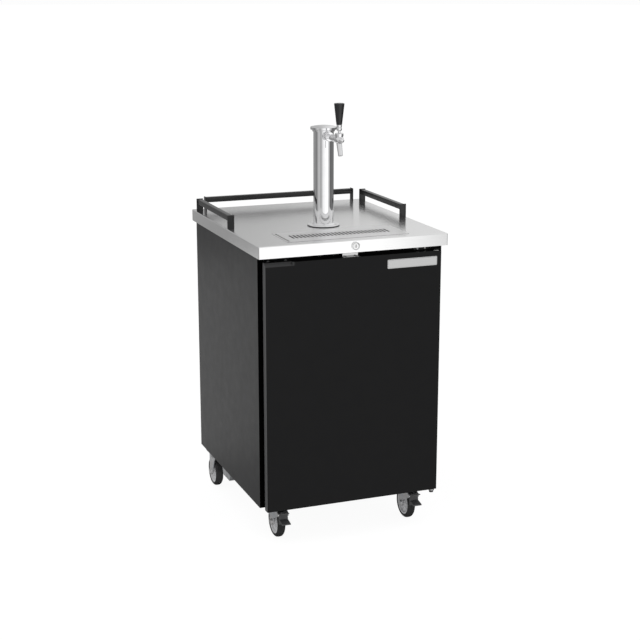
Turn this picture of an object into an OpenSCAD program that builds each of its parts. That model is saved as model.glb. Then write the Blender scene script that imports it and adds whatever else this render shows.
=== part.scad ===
// Draft beer dispenser: a wheeled keg cooler with one hinged door, a steel worktop with a drip tray,
// a single-tap tower and three gallery rails. Millimetres, +Z up, front towards -Y. The origin is on
// the floor, under the middle of the outline.

/* [Worktop] */
// Width of the worktop
top_w = 609.6; // [590:0.1:660]
// Depth of the worktop
top_d = 696; // [690:1:760]
// Height of the worktop above the floor
top_z = 948; // [940:1:1000]
// Sheet thickness of the worktop
top_sheet = 1.2; // [1:0.1:2]
// Height of the worktop's folded edge
apron_h = 37; // [35:0.5:42]

/* [Cabinet] */
// Worktop overhang on each side
side_overhang = 6; // [4:0.5:10]
// Worktop overhang at the rear
rear_overhang = 29; // [16:1:40]
// Setback of the cabinet's front face from the folded edge
body_setback = 32; // [31:0.5:38]
// Sheet thickness of the outer panels
panel_t = 1; // [0.8:0.1:1.5]
// Width of the side panels' front return
panel_flange = 18; // [14:1:24]
// Thickness of the base pan
base_t = 2; // [1.5:0.1:3]
// Thickness of the frame round the door opening
frame_t = 3; // [2:0.5:5]
// Sheet thickness of the inner liner
liner_t = 1; // [0.8:0.1:1.5]
// Insulated side and rear wall thickness
wall = 48; // [42:1:50]
// Insulated floor thickness
floor_t = 50; // [46:1:60]
// Insulated roof thickness
roof_t = 85; // [80:1:95]
// Depth of the machine bay at the rear
bay_d = 150; // [144:1:160]
// Height of the machine bay
bay_h = 300; // [270:1:330]

/* [Door] */
// Gap between the door's side edge and the cabinet's side
door_side_gap = 13.8; // [10.8:0.1:18.8]
// Thickness of the door
door_t = 23.4; // [20:0.1:24]
// Setback of the door's front from the folded edge
door_setback = 0.9; // [0:0.1:2]
// Gap between the folded edge and the door
door_gap = 15; // [14:0.5:17]
// Drop of the door below the cabinet
door_drop = 6; // [4:0.5:7]
// Sheet thickness of the door skin and door liner
skin_t = 1; // [0.8:0.1:1.5]
// Radius on the door's upright front edges
door_edge_r = 3; // [2:0.5:5]
// Inset of the gasket from the door's edge
gasket_inset = 15; // [14:0.5:17]
// Width of the gasket
gasket_w = 18; // [14:0.5:19]
// Gap between the closed gasket and the frame
gasket_gap = 0.3; // [0.2:0.1:0.6]
// Depth of the door liner's raised panel
dyke_h = 6; // [4:0.5:7]
// Width of the finger pull
pull_w = 86; // [70:1:110]
// Height of the finger pull's slope
pull_h = 12; // [9:0.5:15]
// Depth of the finger pull's slope
pull_d = 9; // [6:0.5:11]
// Width of the name plate
plate_w = 165; // [140:1:180]
// Height of the name plate
plate_h = 28; // [22:1:34]
// Thickness of the name plate
plate_t = 0.8; // [0.6:0.1:0.9]
// Name plate's distance below the door's top
plate_drop = 16; // [14:1:30]
// Name plate's distance from the door's hinge edge
plate_inset = 15; // [10:1:30]

/* [Hinges] */
// Hinge pin's distance from the door's edge
hinge_inset = 14; // [13:0.5:15]
// Hinge pin's distance from the door's front
hinge_depth = 10; // [10:0.5:12]
// Radius of the hinge pin
pin_r = 4; // [3:0.25:5]
// Depth that the pin enters the door
pin_depth = 13; // [10:0.5:16]
// Thickness of the hinge brackets
bracket_t = 4; // [3:0.5:4.5]
// Radius of the lug round the pin
lug_r = 9; // [8:0.5:11]
// Length of the bracket along the frame
bracket_w = 76; // [70:1:90]
// Height of the top bracket's upright leg
bracket_leg = 30; // [24:1:32]
// Wall of the hinge bush
bush_wall = 2; // [1.5:0.1:2.5]
// Thickness of the bush's flange
bush_flange = 1; // [0.8:0.1:1.2]

/* [Lock] */
// Height of the lock's axis below the worktop
lock_drop = 18; // [17:0.5:19]
// Radius of the lock's bezel
bezel_r = 13; // [12:0.5:15]
// How far the bezel stands proud
lock_proud = 4; // [3:0.5:6]
// Radius of the lock's barrel
barrel_r = 9.5; // [8.5:0.25:10.5]
// Length of the barrel behind the folded edge
barrel_len = 12; // [10:0.5:13]
// Radius of the lock's plug
plug_r = 6; // [5:0.25:6.5]
// Length of the cam from the lock's axis
cam_len = 29; // [28:0.5:30]
// Width of the cam
cam_w = 13; // [10:0.5:15]
// Thickness of the cam
cam_t = 2.5; // [2:0.25:3]
// Width of the strike
strike_w = 51; // [40:1:60]
// Height of the strike above the door
strike_h = 11; // [10.5:0.5:12]
// Depth of the strike's foot
strike_d = 14; // [10:1:15]
// Thickness of the strike
strike_t = 1.5; // [1.2:0.1:2]

/* [Tower] */
// Distance of the tower's axis behind the folded edge
tower_setback = 265; // [255:1:280]
// Outer radius of the tower's tube
tower_r = 31.75; // [30:0.25:36]
// Wall of the tower's tube
tower_wall = 1.5; // [1.2:0.1:2]
// Height of the tower above the worktop
tower_h = 309; // [304:1:340]
// Radius of the tower's flange
flange_r = 51.5; // [48:0.5:56]
// Thickness of the tower's flange
flange_t = 3; // [2:0.5:5]
// Thickness of the tower's gasket
tower_gasket_t = 2; // [1.5:0.5:3]
// Radius of the tower's cap
cap_r = 41; // [38:0.5:46]
// Thickness of the tower's cap
cap_t = 10; // [8:0.5:12]
// Radius of the line hole under the tower
line_hole_r = 25; // [20:0.5:27]

/* [Tap] */
// Height of the tap's axis below the tower's top
shank_drop = 26; // [26:0.5:30]
// Radius of the shank
shank_r = 11.1; // [10.6:0.1:11.4]
// Radius of the shank's bore
shank_bore_r = 3.2; // [2.5:0.1:4]
// Radius of the shank's collar
collar_r = 15.5; // [14:0.5:16]
// Radius of the coupling nut
coupling_r = 14.5; // [14:0.25:16]
// Length of the coupling nut
coupling_len = 16; // [16:0.5:20]
// Distance of the lever from the tower's axis
lever_out = 130; // [126:0.5:136]
// Height of the lever's pivot above the tap's axis
pivot_h = 12; // [11:0.25:13]
// Radius of the lever's ball
ball_r = 9; // [8.5:0.1:9.5]
// Largest pull of the lever in degrees
lever_pull = 32; // [25:1:32]
// Radius of the lever's neck
neck_r = 3.6; // [3:0.1:4]
// Radius of the plunger
plunger_r = 6.45; // [6:0.05:6.8]
// Radius of the spout at its mouth
spout_r = 7.2; // [6.8:0.1:8]
// Radius of the spout's bore
spout_bore_r = 5; // [4:0.1:5.6]
// Length of the spout below the tap's axis
spout_len = 50; // [40:1:60]
// Forward tilt of the spout in degrees
spout_tilt = 18; // [10:1:22]
// Height of the handle
handle_h = 69; // [55:1:90]
// Radius at the handle's top
handle_top_r = 16; // [13:0.5:18]
// Radius at the handle's foot
handle_foot_r = 8.75; // [8:0.25:10]
// Radius of the ferrule
ferrule_r = 8; // [7:0.25:8.5]
// Length of the ferrule
ferrule_len = 14; // [12:0.5:16]

/* [Drip tray] */
// Width of the grille's recess
drip_w = 376; // [330:1:420]
// Depth of the grille's recess
drip_d = 132; // [110:1:140]
// Distance of the recess behind the folded edge
drip_setback = 45; // [40:1:52]
// Width of the rim that lies on the worktop
drip_rim = 9; // [6:0.5:12]
// Sheet thickness of the drip tray
drip_sheet = 0.8; // [0.6:0.1:1.2]
// Depth of the drip tray
drip_depth = 24; // [18:1:30]
// Width of the ledge under the grille
drip_ledge = 7; // [5:0.5:9]
// Thickness of the grille
grille_t = 1.5; // [1:0.1:2.5]
// Pitch of the grille's slots
slot_pitch = 9.1; // [8:0.1:12]
// Width of a slot
slot_w = 4.5; // [3:0.1:5.5]
// Length of a slot
slot_len = 51; // [40:1:70]
// Number of slots
slot_count = 37; // [20:1:38]
// Outer radius of the drain spigot
spigot_r = 8; // [6:0.25:9]
// Length of the spigot below the roof of the keg space
spigot_len = 30; // [20:1:40]

/* [Rails] */
// Height of a rail's post
post_h = 43; // [30:1:50]
// Width of a post across the rail
post_w = 22; // [13:0.5:24]
// Length of a post along the rail
post_d = 4; // [3:0.5:16]
// Height of the rail's bar
bar_h = 14; // [10:0.5:16]
// Width of the rail's bar
bar_w = 12.7; // [10:0.1:13]
// Drop of the bar below the posts' tops
bar_drop = 1.5; // [0.5:0.5:4]
// Inset of the side rails from the worktop's edge
rail_inset = 13; // [10:0.5:20]
// Start of the side rails behind the folded edge
rail_start = 305; // [270:1:320]
// Length of the side rails
rail_len = 343; // [300:1:360]
// Distance of the rear rail's ends from the worktop's sides
rear_rail_end = 38.8; // [25:0.1:55]
// Inset of the rear rail from the worktop's rear edge
rear_rail_inset = 21; // [9:0.5:24]

/* [Casters] */
// Clear height under the cabinet
caster_h = 127; // [126:0.5:132]
// Radius of the wheel
wheel_r = 50.8; // [49:0.1:51]
// Width of the wheel
wheel_w = 26; // [22:1:32]
// Radius of the wheel's core
core_r = 39; // [36:0.5:42]
// Radius of the axle
axle_r = 5; // [4:0.25:6]
// Side gap between wheel and fork
wheel_gap = 1.5; // [1:0.1:3]
// Thickness of the fork's legs
leg_t = 3; // [2:0.5:4]
// Distance of the wheel's axle from the swivel axis
trail = 28; // [24:0.5:32]
// Thickness of the caster's top plate
caster_plate_t = 4; // [3:0.5:5]
// Width of the caster's top plate
caster_plate_w = 56; // [50:1:57]
// Depth of the caster's top plate
caster_plate_d = 84; // [70:1:90]
// Radius of the caster's swivel race
race_r = 25; // [22:0.5:27]
// Height of the caster's swivel race
race_h = 8; // [6:0.5:9]
// Radius of the king pin
king_r = 6; // [5:0.25:7]
// Thickness of the fork's crown
crown_t = 4; // [3:0.5:5]
// Front casters' distance inside the cabinet's sides
front_caster_inset = 76.8; // [68.8:0.5:93.8]
// Rear casters' distance inside the cabinet's sides
rear_caster_inset = 29.8; // [29.8:0.5:48.8]
// Front wheels' distance behind the folded edge
front_wheel_y = 96; // [92:1:104]
// Rear wheels' distance behind the folded edge
rear_wheel_y = 596; // [580:1:604]
// Width of the brake pedal
pedal_w = 28; // [24:1:50]
// Reach of the brake pedal from the wheel's axle
pedal_out = 92; // [78:1:94]

/* [Cooling] */
// Diameter of the compressor's can
can_d = 124; // [110:1:126]
// Height of the compressor's can
can_h = 150; // [130:1:180]
// Width of the evaporator's cover
evap_w = 380; // [340:1:420]
// Height of the evaporator's cover
evap_h = 230; // [210:1:260]
// Depth of the evaporator's cover
evap_d = 120; // [112:1:128]
// Radius of the evaporator's fan
evap_fan_r = 74; // [60:1:80]
// Radius of the condenser's fan
cond_fan_r = 60; // [50:1:62]
// Radius of a fan motor's shaft
shaft_r = 4; // [3:0.25:5]
// Radius of the thermostat knob
knob_r = 18; // [14:0.5:22]
// Inner radius of the gas line port
gas_bore_r = 5; // [4:0.25:6]
// Inner radius of the power cord gland
cord_bore_r = 4.5; // [3.5:0.25:6]
// Drop of the condensate pan below the cabinet
pan_drop = 30; // [24:1:40]

/* [Clearances] */
// Running clearance on a shaft or pin
run_clear = 0.05; // [0.02:0.01:0.09]
// Clearance between pieces that move past each other
move_clear = 0.4; // [0.3:0.1:0.8]
// Clearance round a piece set into a cut-out
set_clear = 1; // [0.5:0.1:2]
// Hairline seam between sheets and between foam blocks
seam = 0.2; // [0.1:0.05:0.3]

/* [Hidden] */
$fn = 64;
through = 1;
front_y = lock_proud - (top_d + lock_proud) / 2;
rear_y = front_y + top_d;
body_w = top_w - 2 * side_overhang;
inner_w = body_w - 2 * panel_t;
frame_w = body_w - 2 * panel_flange;
body_front = front_y + body_setback;
body_rear = rear_y - rear_overhang;
body_z = caster_h;
body_top = top_z - top_sheet;
door_w = body_w - 2 * door_side_gap;
rear_rail_len = top_w - 2 * rear_rail_end;
front_caster_x = body_w / 2 - front_caster_inset;
rear_caster_x = body_w / 2 - rear_caster_inset;
cav_w = body_w - 2 * wall;
cav_z0 = body_z + floor_t;
cav_z1 = body_top - roof_t;
cav_low_y = body_rear - bay_d - wall;
cav_high_y = body_rear - wall;
bay_front = body_rear - bay_d;
step_z = body_z + bay_h + wall;

door_front = front_y + door_setback;
door_back = door_front + door_t;
door_top = top_z - apron_h - door_gap;
door_bottom = body_z - door_drop;
gasket_t = body_front - gasket_gap - door_back;
hinge_x = door_w / 2 - hinge_inset;
hinge_y = door_front + hinge_depth;
hinge_gap = bush_flange + move_clear;
bush_r = pin_r + run_clear + bush_wall;
pull_wall = 2;
pull_lip = 1.5;
least_r = 0.5;
pin_end_gap = 3;

lock_z = top_z - lock_drop;
cam_back = front_y + barrel_len + move_clear + cam_t;
plug_shoulder = 2;
plug_sunk = 1;
plug_tail_r = plug_r - plug_shoulder;
strike_x = -11;
strike_front = cam_back + 2 * move_clear;

tower_y = front_y + tower_setback;
tower_foot = top_z + tower_gasket_t;
tube_top = top_z + tower_h - cap_t;
tube_bore_r = tower_r - tower_wall;
shank_z = top_z + tower_h - shank_drop;
nut_wall = 5;
nut_r = shank_r + nut_wall;
nut_h = 9;
nut_face = sqrt(tube_bore_r * tube_bore_r - nut_r * nut_r);
collar_h = 5;
thread_past_nut = 4;
shank_tail = nut_face - nut_h - thread_past_nut;
coupling_z = tower_r + collar_h;
lip_t = 3;
tap_flange_t = 4;
tap_start = coupling_z + coupling_len - lip_t - tap_flange_t;
lip_w = 2.4;
tap_neck_r = shank_r - lip_w;
boss_wall = 2.6;
boss_r = ball_r + move_clear + boss_wall;
bonnet_h = 8;
bonnet_r = boss_r + set_clear;
trunnion_r = 3.2;
trunnion_out = 1.2;
trunnion_half = ball_r + trunnion_out;
bore_r = plunger_r + run_clear;
seat_w = 2;
chamber_r = bore_r + seat_w;
seat_back = 30;
seat_z = lever_out - seat_back;
tip_r = 2.8;
nose_r = 7.5;
nose_reach = 21;
nose_out = lever_out + nose_reach;
stud_r = 4.7;
stud_h = 20;
lever_neck = 20;
handle_foot = pivot_h + bonnet_h + lever_neck;
lever_end = 10;

drip_offset = 4;
drip_x0 = -drip_w / 2 - drip_offset;
drip_y0 = front_y + drip_setback;
grille_top = top_z + drip_sheet;
grille_rest = grille_top - grille_t;
well_floor = top_z - drip_depth;
spigot_inset = 60;
spigot_x = drip_x0 + drip_w - spigot_inset;
spigot_y = drip_y0 + drip_d / 2;
spigot_wall = 1.5;
spigot_neck = 1;
spigot_foot = cav_z1 - liner_t;
spigot_collar_r = spigot_r + spigot_wall;
tray_x0 = drip_x0 - set_clear;
tray_x1 = drip_x0 + drip_w + set_clear;
tray_y0 = drip_y0 - set_clear;
tray_y1 = drip_y0 + drip_d + set_clear;
line_y0 = tower_y - line_hole_r;
line_y1 = tower_y + line_hole_r;

crown_top = caster_h - caster_plate_t - race_h - move_clear;
fork_inner = wheel_w + 2 * wheel_gap;
bead = 2;
eye_wall = 8;
crown_inset = 4;
crown_reach = 16;
crown_back = crown_inset - race_r;
crown_front = trail + crown_reach;
pedal_pin_gap = 5.2;
pedal_pin_drop = 22.6;
pedal_pivot_y = wheel_r + pedal_pin_gap;
pedal_pivot_z = crown_top - pedal_pin_drop;
pedal_pin_r = 3;

evap_front = cav_high_y - liner_t - evap_d;
evap_z0 = step_z + liner_t;
evap_fan_z = evap_z0 + evap_h / 2;
knob_inset = 45;
knob_drop = 40;
knob_x = evap_w / 2 - knob_inset;
knob_z = evap_z0 + evap_h - knob_drop;
knob_pin_r = 3;
knob_pin_len = 12;
evap_shell = 1.5;
evap_fan_gap = 8;
motor_gap = 4;
bay_floor = body_z + base_t;
fan_depth = 22;
cond_gap = 14;
cond_x = -inner_w / 2 + cond_gap;
cond_w = 46;
cond_mid_y = body_rear - bay_d / 2;
cond_fan_rise = 30;
cond_fan_z = bay_floor + cond_fan_r + cond_fan_rise;
cond_fan_gap = 12;
cond_fan_x = cond_x + cond_w + cond_fan_gap;
gas_inset = 50.8;
gas_x = cav_w / 2 - gas_inset;
gas_drop = 40;
gas_z = cav_z1 - gas_drop;
cord_inset = 87.8;
cord_x = inner_w / 2 - cord_inset;
cord_rise = 60;
cord_z = bay_floor + cord_rise;
port_wall = 2;
port_flange = 3;

// A box between two corners
module block(low, high) {
    translate(low) cube(high - low);
}

// A profile drawn with Y across and Z up, extruded along X about the middle
module across_x(w) {
    rotate([90, 0, 90]) linear_extrude(w, center = true) children();
}

// A plain tube standing on its end
module tube(outer, inner, h) {
    difference() {
        cylinder(r = outer, h = h);
        translate([0, 0, -through]) cylinder(r = inner, h = h + 2 * through);
    }
}

// The tap's own axes: local Z runs forward from the tower's axis, local Y points up
module forward() {
    translate([0, tower_y, shank_z]) rotate([90, 0, 0]) children();
}

// The lever's own axes: upright, with zero height on the tap's axis
module at_lever() {
    translate([0, tower_y - lever_out, shank_z]) children();
}

// The lock's own axes: local Z runs forward out of the folded edge
module at_lock() {
    translate([0, front_y, lock_z]) rotate([90, 0, 0]) children();
}

// A smooth run of profile points from one radius to another
function ease(r1, z1, r2, z2) =
    [for (t = [0:0.125:1]) [r1 + (r2 - r1) * (1 - cos(180 * t)) / 2, z1 + (z2 - z1) * t]];

// A quarter round of profile points about a centre
function round_points(r, z, radius, from, to) =
    [for (i = [0:6]) let (a = from + (to - from) * i / 6) [r + radius * cos(a), z + radius * sin(a)]];

// The keg space in side view, drawn in by g
function keg_space(g, y0) = [
    [y0, cav_z0 + g], [cav_low_y - g, cav_z0 + g], [cav_low_y - g, step_z + g],
    [cav_high_y - g, step_z + g], [cav_high_y - g, cav_z1 - g], [y0, cav_z1 - g]
];

// Worktop and what stands on it

// The sheet is cut by seams into plain strips round its two openings
module worktop() {
    low = top_z - apron_h - through;
    color("silver") difference() {
        block([-top_w / 2, front_y, top_z - apron_h], [top_w / 2, rear_y, top_z]);
        block([-top_w / 2 + top_sheet, front_y + top_sheet, low],
              [top_w / 2 - top_sheet, rear_y - top_sheet, top_z - top_sheet]);
        block([tray_x0, tray_y0, low], [tray_x1, tray_y1, top_z + through]);
        block([-line_hole_r, line_y0, low], [line_hole_r, line_y1, top_z + through]);
        for (y = [tray_y0, tray_y1, line_y0, line_y1])
            block([-top_w / 2 - through, y - seam / 2, low],
                  [top_w / 2 + through, y + seam / 2, top_z + through]);
        at_lock() translate([0, 0, -top_sheet - through])
            cylinder(r = barrel_r, h = top_sheet + 2 * through);
    }
}

// The tray's recess for the grille, drawn in by g, from its ledge up
module drip_recess(g, low, high) {
    block([drip_x0 + g, drip_y0 + g, low], [drip_x0 + drip_w - g, drip_y0 + drip_d - g, high]);
}

// One hairline cut across the tray near each end, drawn in by g
module tray_cuts(g, margin, low, high) {
    for (y = [drip_y0 + g, drip_y0 + drip_d - g - seam])
        block([drip_x0 + margin, y, low], [drip_x0 + drip_w - margin, y + seam, high]);
}

// The tray's sheets: a rim with its recess, a ledge with the well's walls, and a floor, a seam apart
module tray_sheets() {
    well = drip_sheet + drip_ledge;
    low = well_floor + drip_sheet;
    difference() {
        union() {
            drip_recess(-drip_rim, top_z, top_z + drip_sheet);
            drip_recess(0, grille_rest - drip_sheet, top_z + drip_sheet);
            drip_recess(well - drip_sheet, well_floor, top_z);
        }
        drip_recess(drip_sheet, grille_rest, top_z + drip_sheet + through);
        drip_recess(well, low, top_z);
        difference() {
            drip_recess(drip_sheet, low + seam, grille_rest + through);
            drip_recess(drip_sheet + seam, low, top_z);
        }
        drip_recess(-drip_rim, low, low + seam);
        tray_cuts(drip_sheet, -drip_rim - through, low, grille_top + through);
        tray_cuts(well, drip_sheet, low, grille_rest + through);
        translate([spigot_x, spigot_y, well_floor - through])
            cylinder(r = spigot_collar_r + seam, h = drip_sheet + 2 * through);
    }
}

module drip_pan() {
    neck_z = spigot_foot - spigot_neck;
    tip_z = cav_z1 - spigot_len;
    color("gainsboro") {
        tray_sheets();
        translate([spigot_x, spigot_y, 0]) rotate_extrude() polygon([
            [spigot_r - spigot_wall, tip_z], [spigot_r, tip_z], [spigot_r, neck_z],
            [spigot_r - spigot_neck, neck_z], [spigot_r - spigot_neck, spigot_foot],
            [spigot_collar_r, spigot_foot], [spigot_collar_r, well_floor + drip_sheet],
            [spigot_r - spigot_wall, well_floor + drip_sheet]
        ]);
    }
}

module drip_grille() {
    g = drip_sheet + move_clear;
    color("lightgray") difference() {
        drip_recess(g, grille_rest, grille_top);
        for (i = [0:slot_count - 1])
            translate([drip_x0 + drip_w / 2 + (i - (slot_count - 1) / 2) * slot_pitch,
                       drip_y0 + drip_d / 2 - (slot_len - slot_w) / 2, grille_rest - through]) {
                translate([-slot_w / 2, 0, 0]) cube([slot_w, slot_len - slot_w, grille_t + 2 * through]);
                for (y = [0, slot_len - slot_w])
                    translate([0, y, 0]) cylinder(d = slot_w, h = grille_t + 2 * through, $fn = 24);
            }
    }
}

// One rail along Y from its first post's outer face: two posts and the bar between them
module rail(length) {
    color("#202022") {
        for (y = [0, length - post_d])
            translate([-post_w / 2, y, top_z]) cube([post_w, post_d, post_h]);
        translate([-bar_w / 2, post_d, top_z + post_h - bar_drop - bar_h])
            cube([bar_w, length - 2 * post_d, bar_h]);
    }
}

module side_rail(side) {
    translate([side * (top_w / 2 - rail_inset), front_y + rail_start, 0]) rail(rail_len);
}

module rail_rear() {
    translate([rear_rail_len / 2, rear_y - rear_rail_inset, 0]) rotate([0, 0, 90]) rail(rear_rail_len);
}

// Cabinet

module side_panel_right() {
    color("#2b2b2d") {
        block([body_w / 2 - panel_t, body_front, body_z], [body_w / 2, body_rear, body_top]);
        block([frame_w / 2, body_front, body_z], [body_w / 2 - panel_t, body_front + panel_t, body_top]);
    }
}

module side_panel_left() {
    mirror([1, 0, 0]) side_panel_right();
}

// Places of the rear panel's louvres: two columns, up the machine bay
module at_louvres(w) {
    pitch = 24;
    margin = 40;
    gap = 20;
    rows = floor((bay_h - 1.5 * margin) / pitch);
    for (x = [-w / 2 - gap, w / 2], i = [0:rows - 1])
        translate([x, body_rear, body_z + margin + i * pitch]) children();
}

module rear_panel() {
    louvre_w = 200;
    louvre_h = 10;
    louvre_out = 5;
    sheet = 2;
    color("#3a3a3c") difference() {
        union() {
            block([-inner_w / 2, body_rear - panel_t, body_z], [inner_w / 2, body_rear, body_top]);
            at_louvres(louvre_w) across_x(louvre_w) polygon([
                [-panel_t, -panel_t], [0, -panel_t], [louvre_out, -panel_t],
                [0, louvre_h], [-panel_t, louvre_h]
            ]);
        }
        at_louvres(louvre_w) across_x(louvre_w - sheet) polygon([
            [-panel_t - through, -panel_t - through], [louvre_out - sheet, -panel_t - through],
            [louvre_out - sheet, 0], [-panel_t, louvre_h - sheet - panel_t],
            [-panel_t - through, louvre_h - sheet - panel_t]
        ]);
        translate([gas_x, body_rear, gas_z]) rotate([90, 0, 0])
            cylinder(r = gas_bore_r + port_wall, h = 2 * wall, center = true);
        translate([cord_x, body_rear, cord_z]) rotate([90, 0, 0])
            cylinder(r = cord_bore_r + port_wall, h = 2 * wall, center = true);
    }
}

module base_pan() {
    color("#6f7276") block([-inner_w / 2, body_front + frame_t, body_z],
                           [inner_w / 2, body_rear - panel_t, body_z + base_t]);
}

module front_frame() {
    color("#161617") difference() {
        block([-frame_w / 2, body_front, body_z], [frame_w / 2, body_front + frame_t, body_top]);
        block([-cav_w / 2 + liner_t, body_front - through, cav_z0 + liner_t],
              [cav_w / 2 - liner_t, body_front + frame_t + through, cav_z1 - liner_t]);
    }
}

module inner_liner() {
    y0 = body_front + frame_t;
    color("lightsteelblue") difference() {
        across_x(cav_w) polygon(keg_space(0, y0));
        across_x(cav_w - 2 * liner_t) polygon(keg_space(liner_t, y0 - through));
        translate([0, tower_y, cav_z1 - wall]) cylinder(r = line_hole_r, h = wall + through);
        translate([spigot_x, spigot_y, cav_z1 - wall]) cylinder(r = spigot_collar_r, h = wall + through);
        translate([gas_x, body_rear, gas_z]) rotate([90, 0, 0])
            cylinder(r = gas_bore_r + port_wall, h = wall + liner_t + through);
    }
}

// One foam block, half a seam clear of everything round it
module foam(low, high) {
    gap = [seam, seam, seam] / 2;
    block(low + gap, high - gap);
}

// The roof's foam, in blocks round the drip tray and the line hole
module roof_foam() {
    half = cav_w / 2;
    y0 = body_front + frame_t;
    y1 = body_rear - panel_t;
    foam([-half, y0, cav_z1], [half, tray_y0, body_top]);
    foam([-half, tray_y0, cav_z1], [tray_x0, tray_y1, body_top]);
    foam([tray_x1, tray_y0, cav_z1], [half, tray_y1, body_top]);
    difference() {
        foam([tray_x0, tray_y0, cav_z1], [tray_x1, tray_y1, well_floor - set_clear]);
        translate([spigot_x, spigot_y, cav_z1]) cylinder(r = spigot_collar_r + seam, h = roof_t);
    }
    foam([-half, tray_y1, cav_z1], [half, line_y0, body_top]);
    foam([-half, line_y0, cav_z1], [-line_hole_r, line_y1, body_top]);
    foam([line_hole_r, line_y0, cav_z1], [half, line_y1, body_top]);
    foam([-half, line_y1, cav_z1], [half, y1, body_top]);
}

// The upper rear wall's foam, in blocks round the gas port
module rear_foam() {
    half = cav_w / 2;
    port = gas_bore_r + port_wall + seam;
    y1 = body_rear - panel_t;
    foam([-half, cav_high_y, step_z], [half, y1, gas_z - port]);
    foam([-half, cav_high_y, gas_z - port], [gas_x - port, y1, gas_z + port]);
    foam([gas_x + port, cav_high_y, gas_z - port], [half, y1, gas_z + port]);
    foam([-half, cav_high_y, gas_z + port], [half, y1, cav_z1]);
}

module insulation() {
    half = cav_w / 2;
    y0 = body_front + frame_t;
    y1 = body_rear - panel_t;
    z0 = body_z + base_t;
    bay_top = body_z + bay_h;
    color("khaki") {
        for (side = [0, 1])
            mirror([side, 0, 0]) {
                foam([half, y0, z0], [inner_w / 2, bay_front, body_top]);
                foam([half, bay_front, bay_top], [inner_w / 2, y1, body_top]);
            }
        foam([-half, y0, z0], [half, bay_front, cav_z0]);
        foam([-half, cav_low_y, cav_z0], [half, bay_front, step_z]);
        foam([-half, bay_front, bay_top], [half, y1, step_z]);
        rear_foam();
        roof_foam();
    }
}

module rear_grommets() {
    gland_len = 8;
    color("#1b1b1b") {
        translate([gas_x, body_rear, gas_z]) rotate([90, 0, 0]) {
            tube(gas_bore_r + port_wall, gas_bore_r, wall + port_flange);
            translate([0, 0, -port_wall]) tube(gas_bore_r + port_wall + port_flange, gas_bore_r, port_wall);
        }
        translate([cord_x, body_rear, cord_z]) rotate([90, 0, 0]) {
            tube(cord_bore_r + port_wall, cord_bore_r, gland_len);
            translate([0, 0, -port_flange])
                tube(cord_bore_r + port_wall + port_flange, cord_bore_r, port_flange);
        }
    }
}

module condensate_pan() {
    pan_setback = 352;
    pan_d = 90;
    pan_inset = 6;
    pan_w = 190;
    slope = 12;
    pan_x = (pan_w - body_w) / 2 + pan_inset;
    color("#a9adb0") translate([pan_x, front_y + pan_setback, body_z]) difference() {
        across_x(pan_w) polygon([[0, 0], [slope, -pan_drop], [pan_d - slope, -pan_drop], [pan_d, 0]]);
        across_x(pan_w - 2 * panel_t) polygon([
            [panel_t, through], [panel_t, 0], [slope + panel_t, panel_t - pan_drop],
            [pan_d - slope - panel_t, panel_t - pan_drop], [pan_d - panel_t, 0], [pan_d - panel_t, through]
        ]);
    }
}

// Tower

module tower_gasket() {
    color("#1a1a1a") translate([0, tower_y, top_z]) tube(flange_r - set_clear, line_hole_r, tower_gasket_t);
}

module tower_column() {
    edge = flange_t / 2;
    fillet = 4;
    color("lightgray") difference() {
        translate([0, tower_y, tower_foot]) rotate_extrude() polygon(concat(
            [[tube_bore_r, 0]],
            round_points(flange_r - edge, edge, edge, -90, 90),
            ease(tower_r + fillet, flange_t, tower_r, flange_t + fillet),
            [[tower_r, tube_top - tower_foot], [tube_bore_r, tube_top - tower_foot]]
        ));
        forward() cylinder(r = shank_r, h = tower_r + through);
    }
}

module tower_cap() {
    skirt_r = tube_bore_r - run_clear;
    skirt_h = shank_drop - cap_t - shank_r - set_clear;
    shell = 2;
    crown = 2;
    edge = (cap_t - crown) / 2;
    color("lightgray") translate([0, tower_y, tube_top]) rotate_extrude() polygon(concat(
        [[0, shell], [skirt_r - shell, shell], [skirt_r - shell, -skirt_h]],
        [[skirt_r, -skirt_h], [skirt_r, 0]],
        round_points(cap_r - edge, edge, edge, -90, 90),
        ease(cap_r - edge - crown, 2 * edge, 0, cap_t)
    ));
}

module beer_shank() {
    tail_wall = 1.5;
    color("gainsboro") forward() difference() {
        union() {
            translate([0, 0, shank_tail]) cylinder(r = shank_r, h = tap_start - shank_tail);
            cylinder(r = shank_bore_r + tail_wall, h = shank_tail + through);
            difference() {
                cylinder(r = collar_r, h = coupling_z);
                rotate([90, 0, 0]) cylinder(r = tower_r, h = 4 * collar_r, center = true);
            }
        }
        translate([0, 0, -through]) cylinder(r = shank_bore_r, h = tap_start + 2 * through);
    }
}

module shank_nut() {
    color("#b5a15a") forward() translate([0, 0, nut_face - nut_h]) difference() {
        cylinder(r = nut_r, h = nut_h, $fn = 6);
        translate([0, 0, -through]) cylinder(r = shank_r, h = nut_h + 2 * through);
    }
}

// Tap

module faucet_coupling() {
    notch_r = 1.5;
    notches = 8;
    chamfer = 2;
    color("lightgray") forward() translate([0, 0, coupling_z]) difference() {
        rotate_extrude() polygon([
            [shank_r, 0], [coupling_r - chamfer / 2, 0], [coupling_r, chamfer / 2],
            [coupling_r, coupling_len - chamfer], [coupling_r - chamfer, coupling_len],
            [tap_neck_r, coupling_len], [tap_neck_r, coupling_len - lip_t], [shank_r, coupling_len - lip_t]
        ]);
        for (i = [0:notches - 1])
            rotate([0, 0, i * 360 / notches]) translate([coupling_r + notch_r / 3, 0, coupling_len / 4])
                cylinder(r = notch_r, h = coupling_len / 2, $fn = 24);
    }
}

// The cross hole in which the lever's trunnion turns
module trunnion_hole() {
    rotate([0, 90, 0])
        cylinder(r = trunnion_r + run_clear, h = 2 * (trunnion_half + move_clear), center = true);
}

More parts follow.
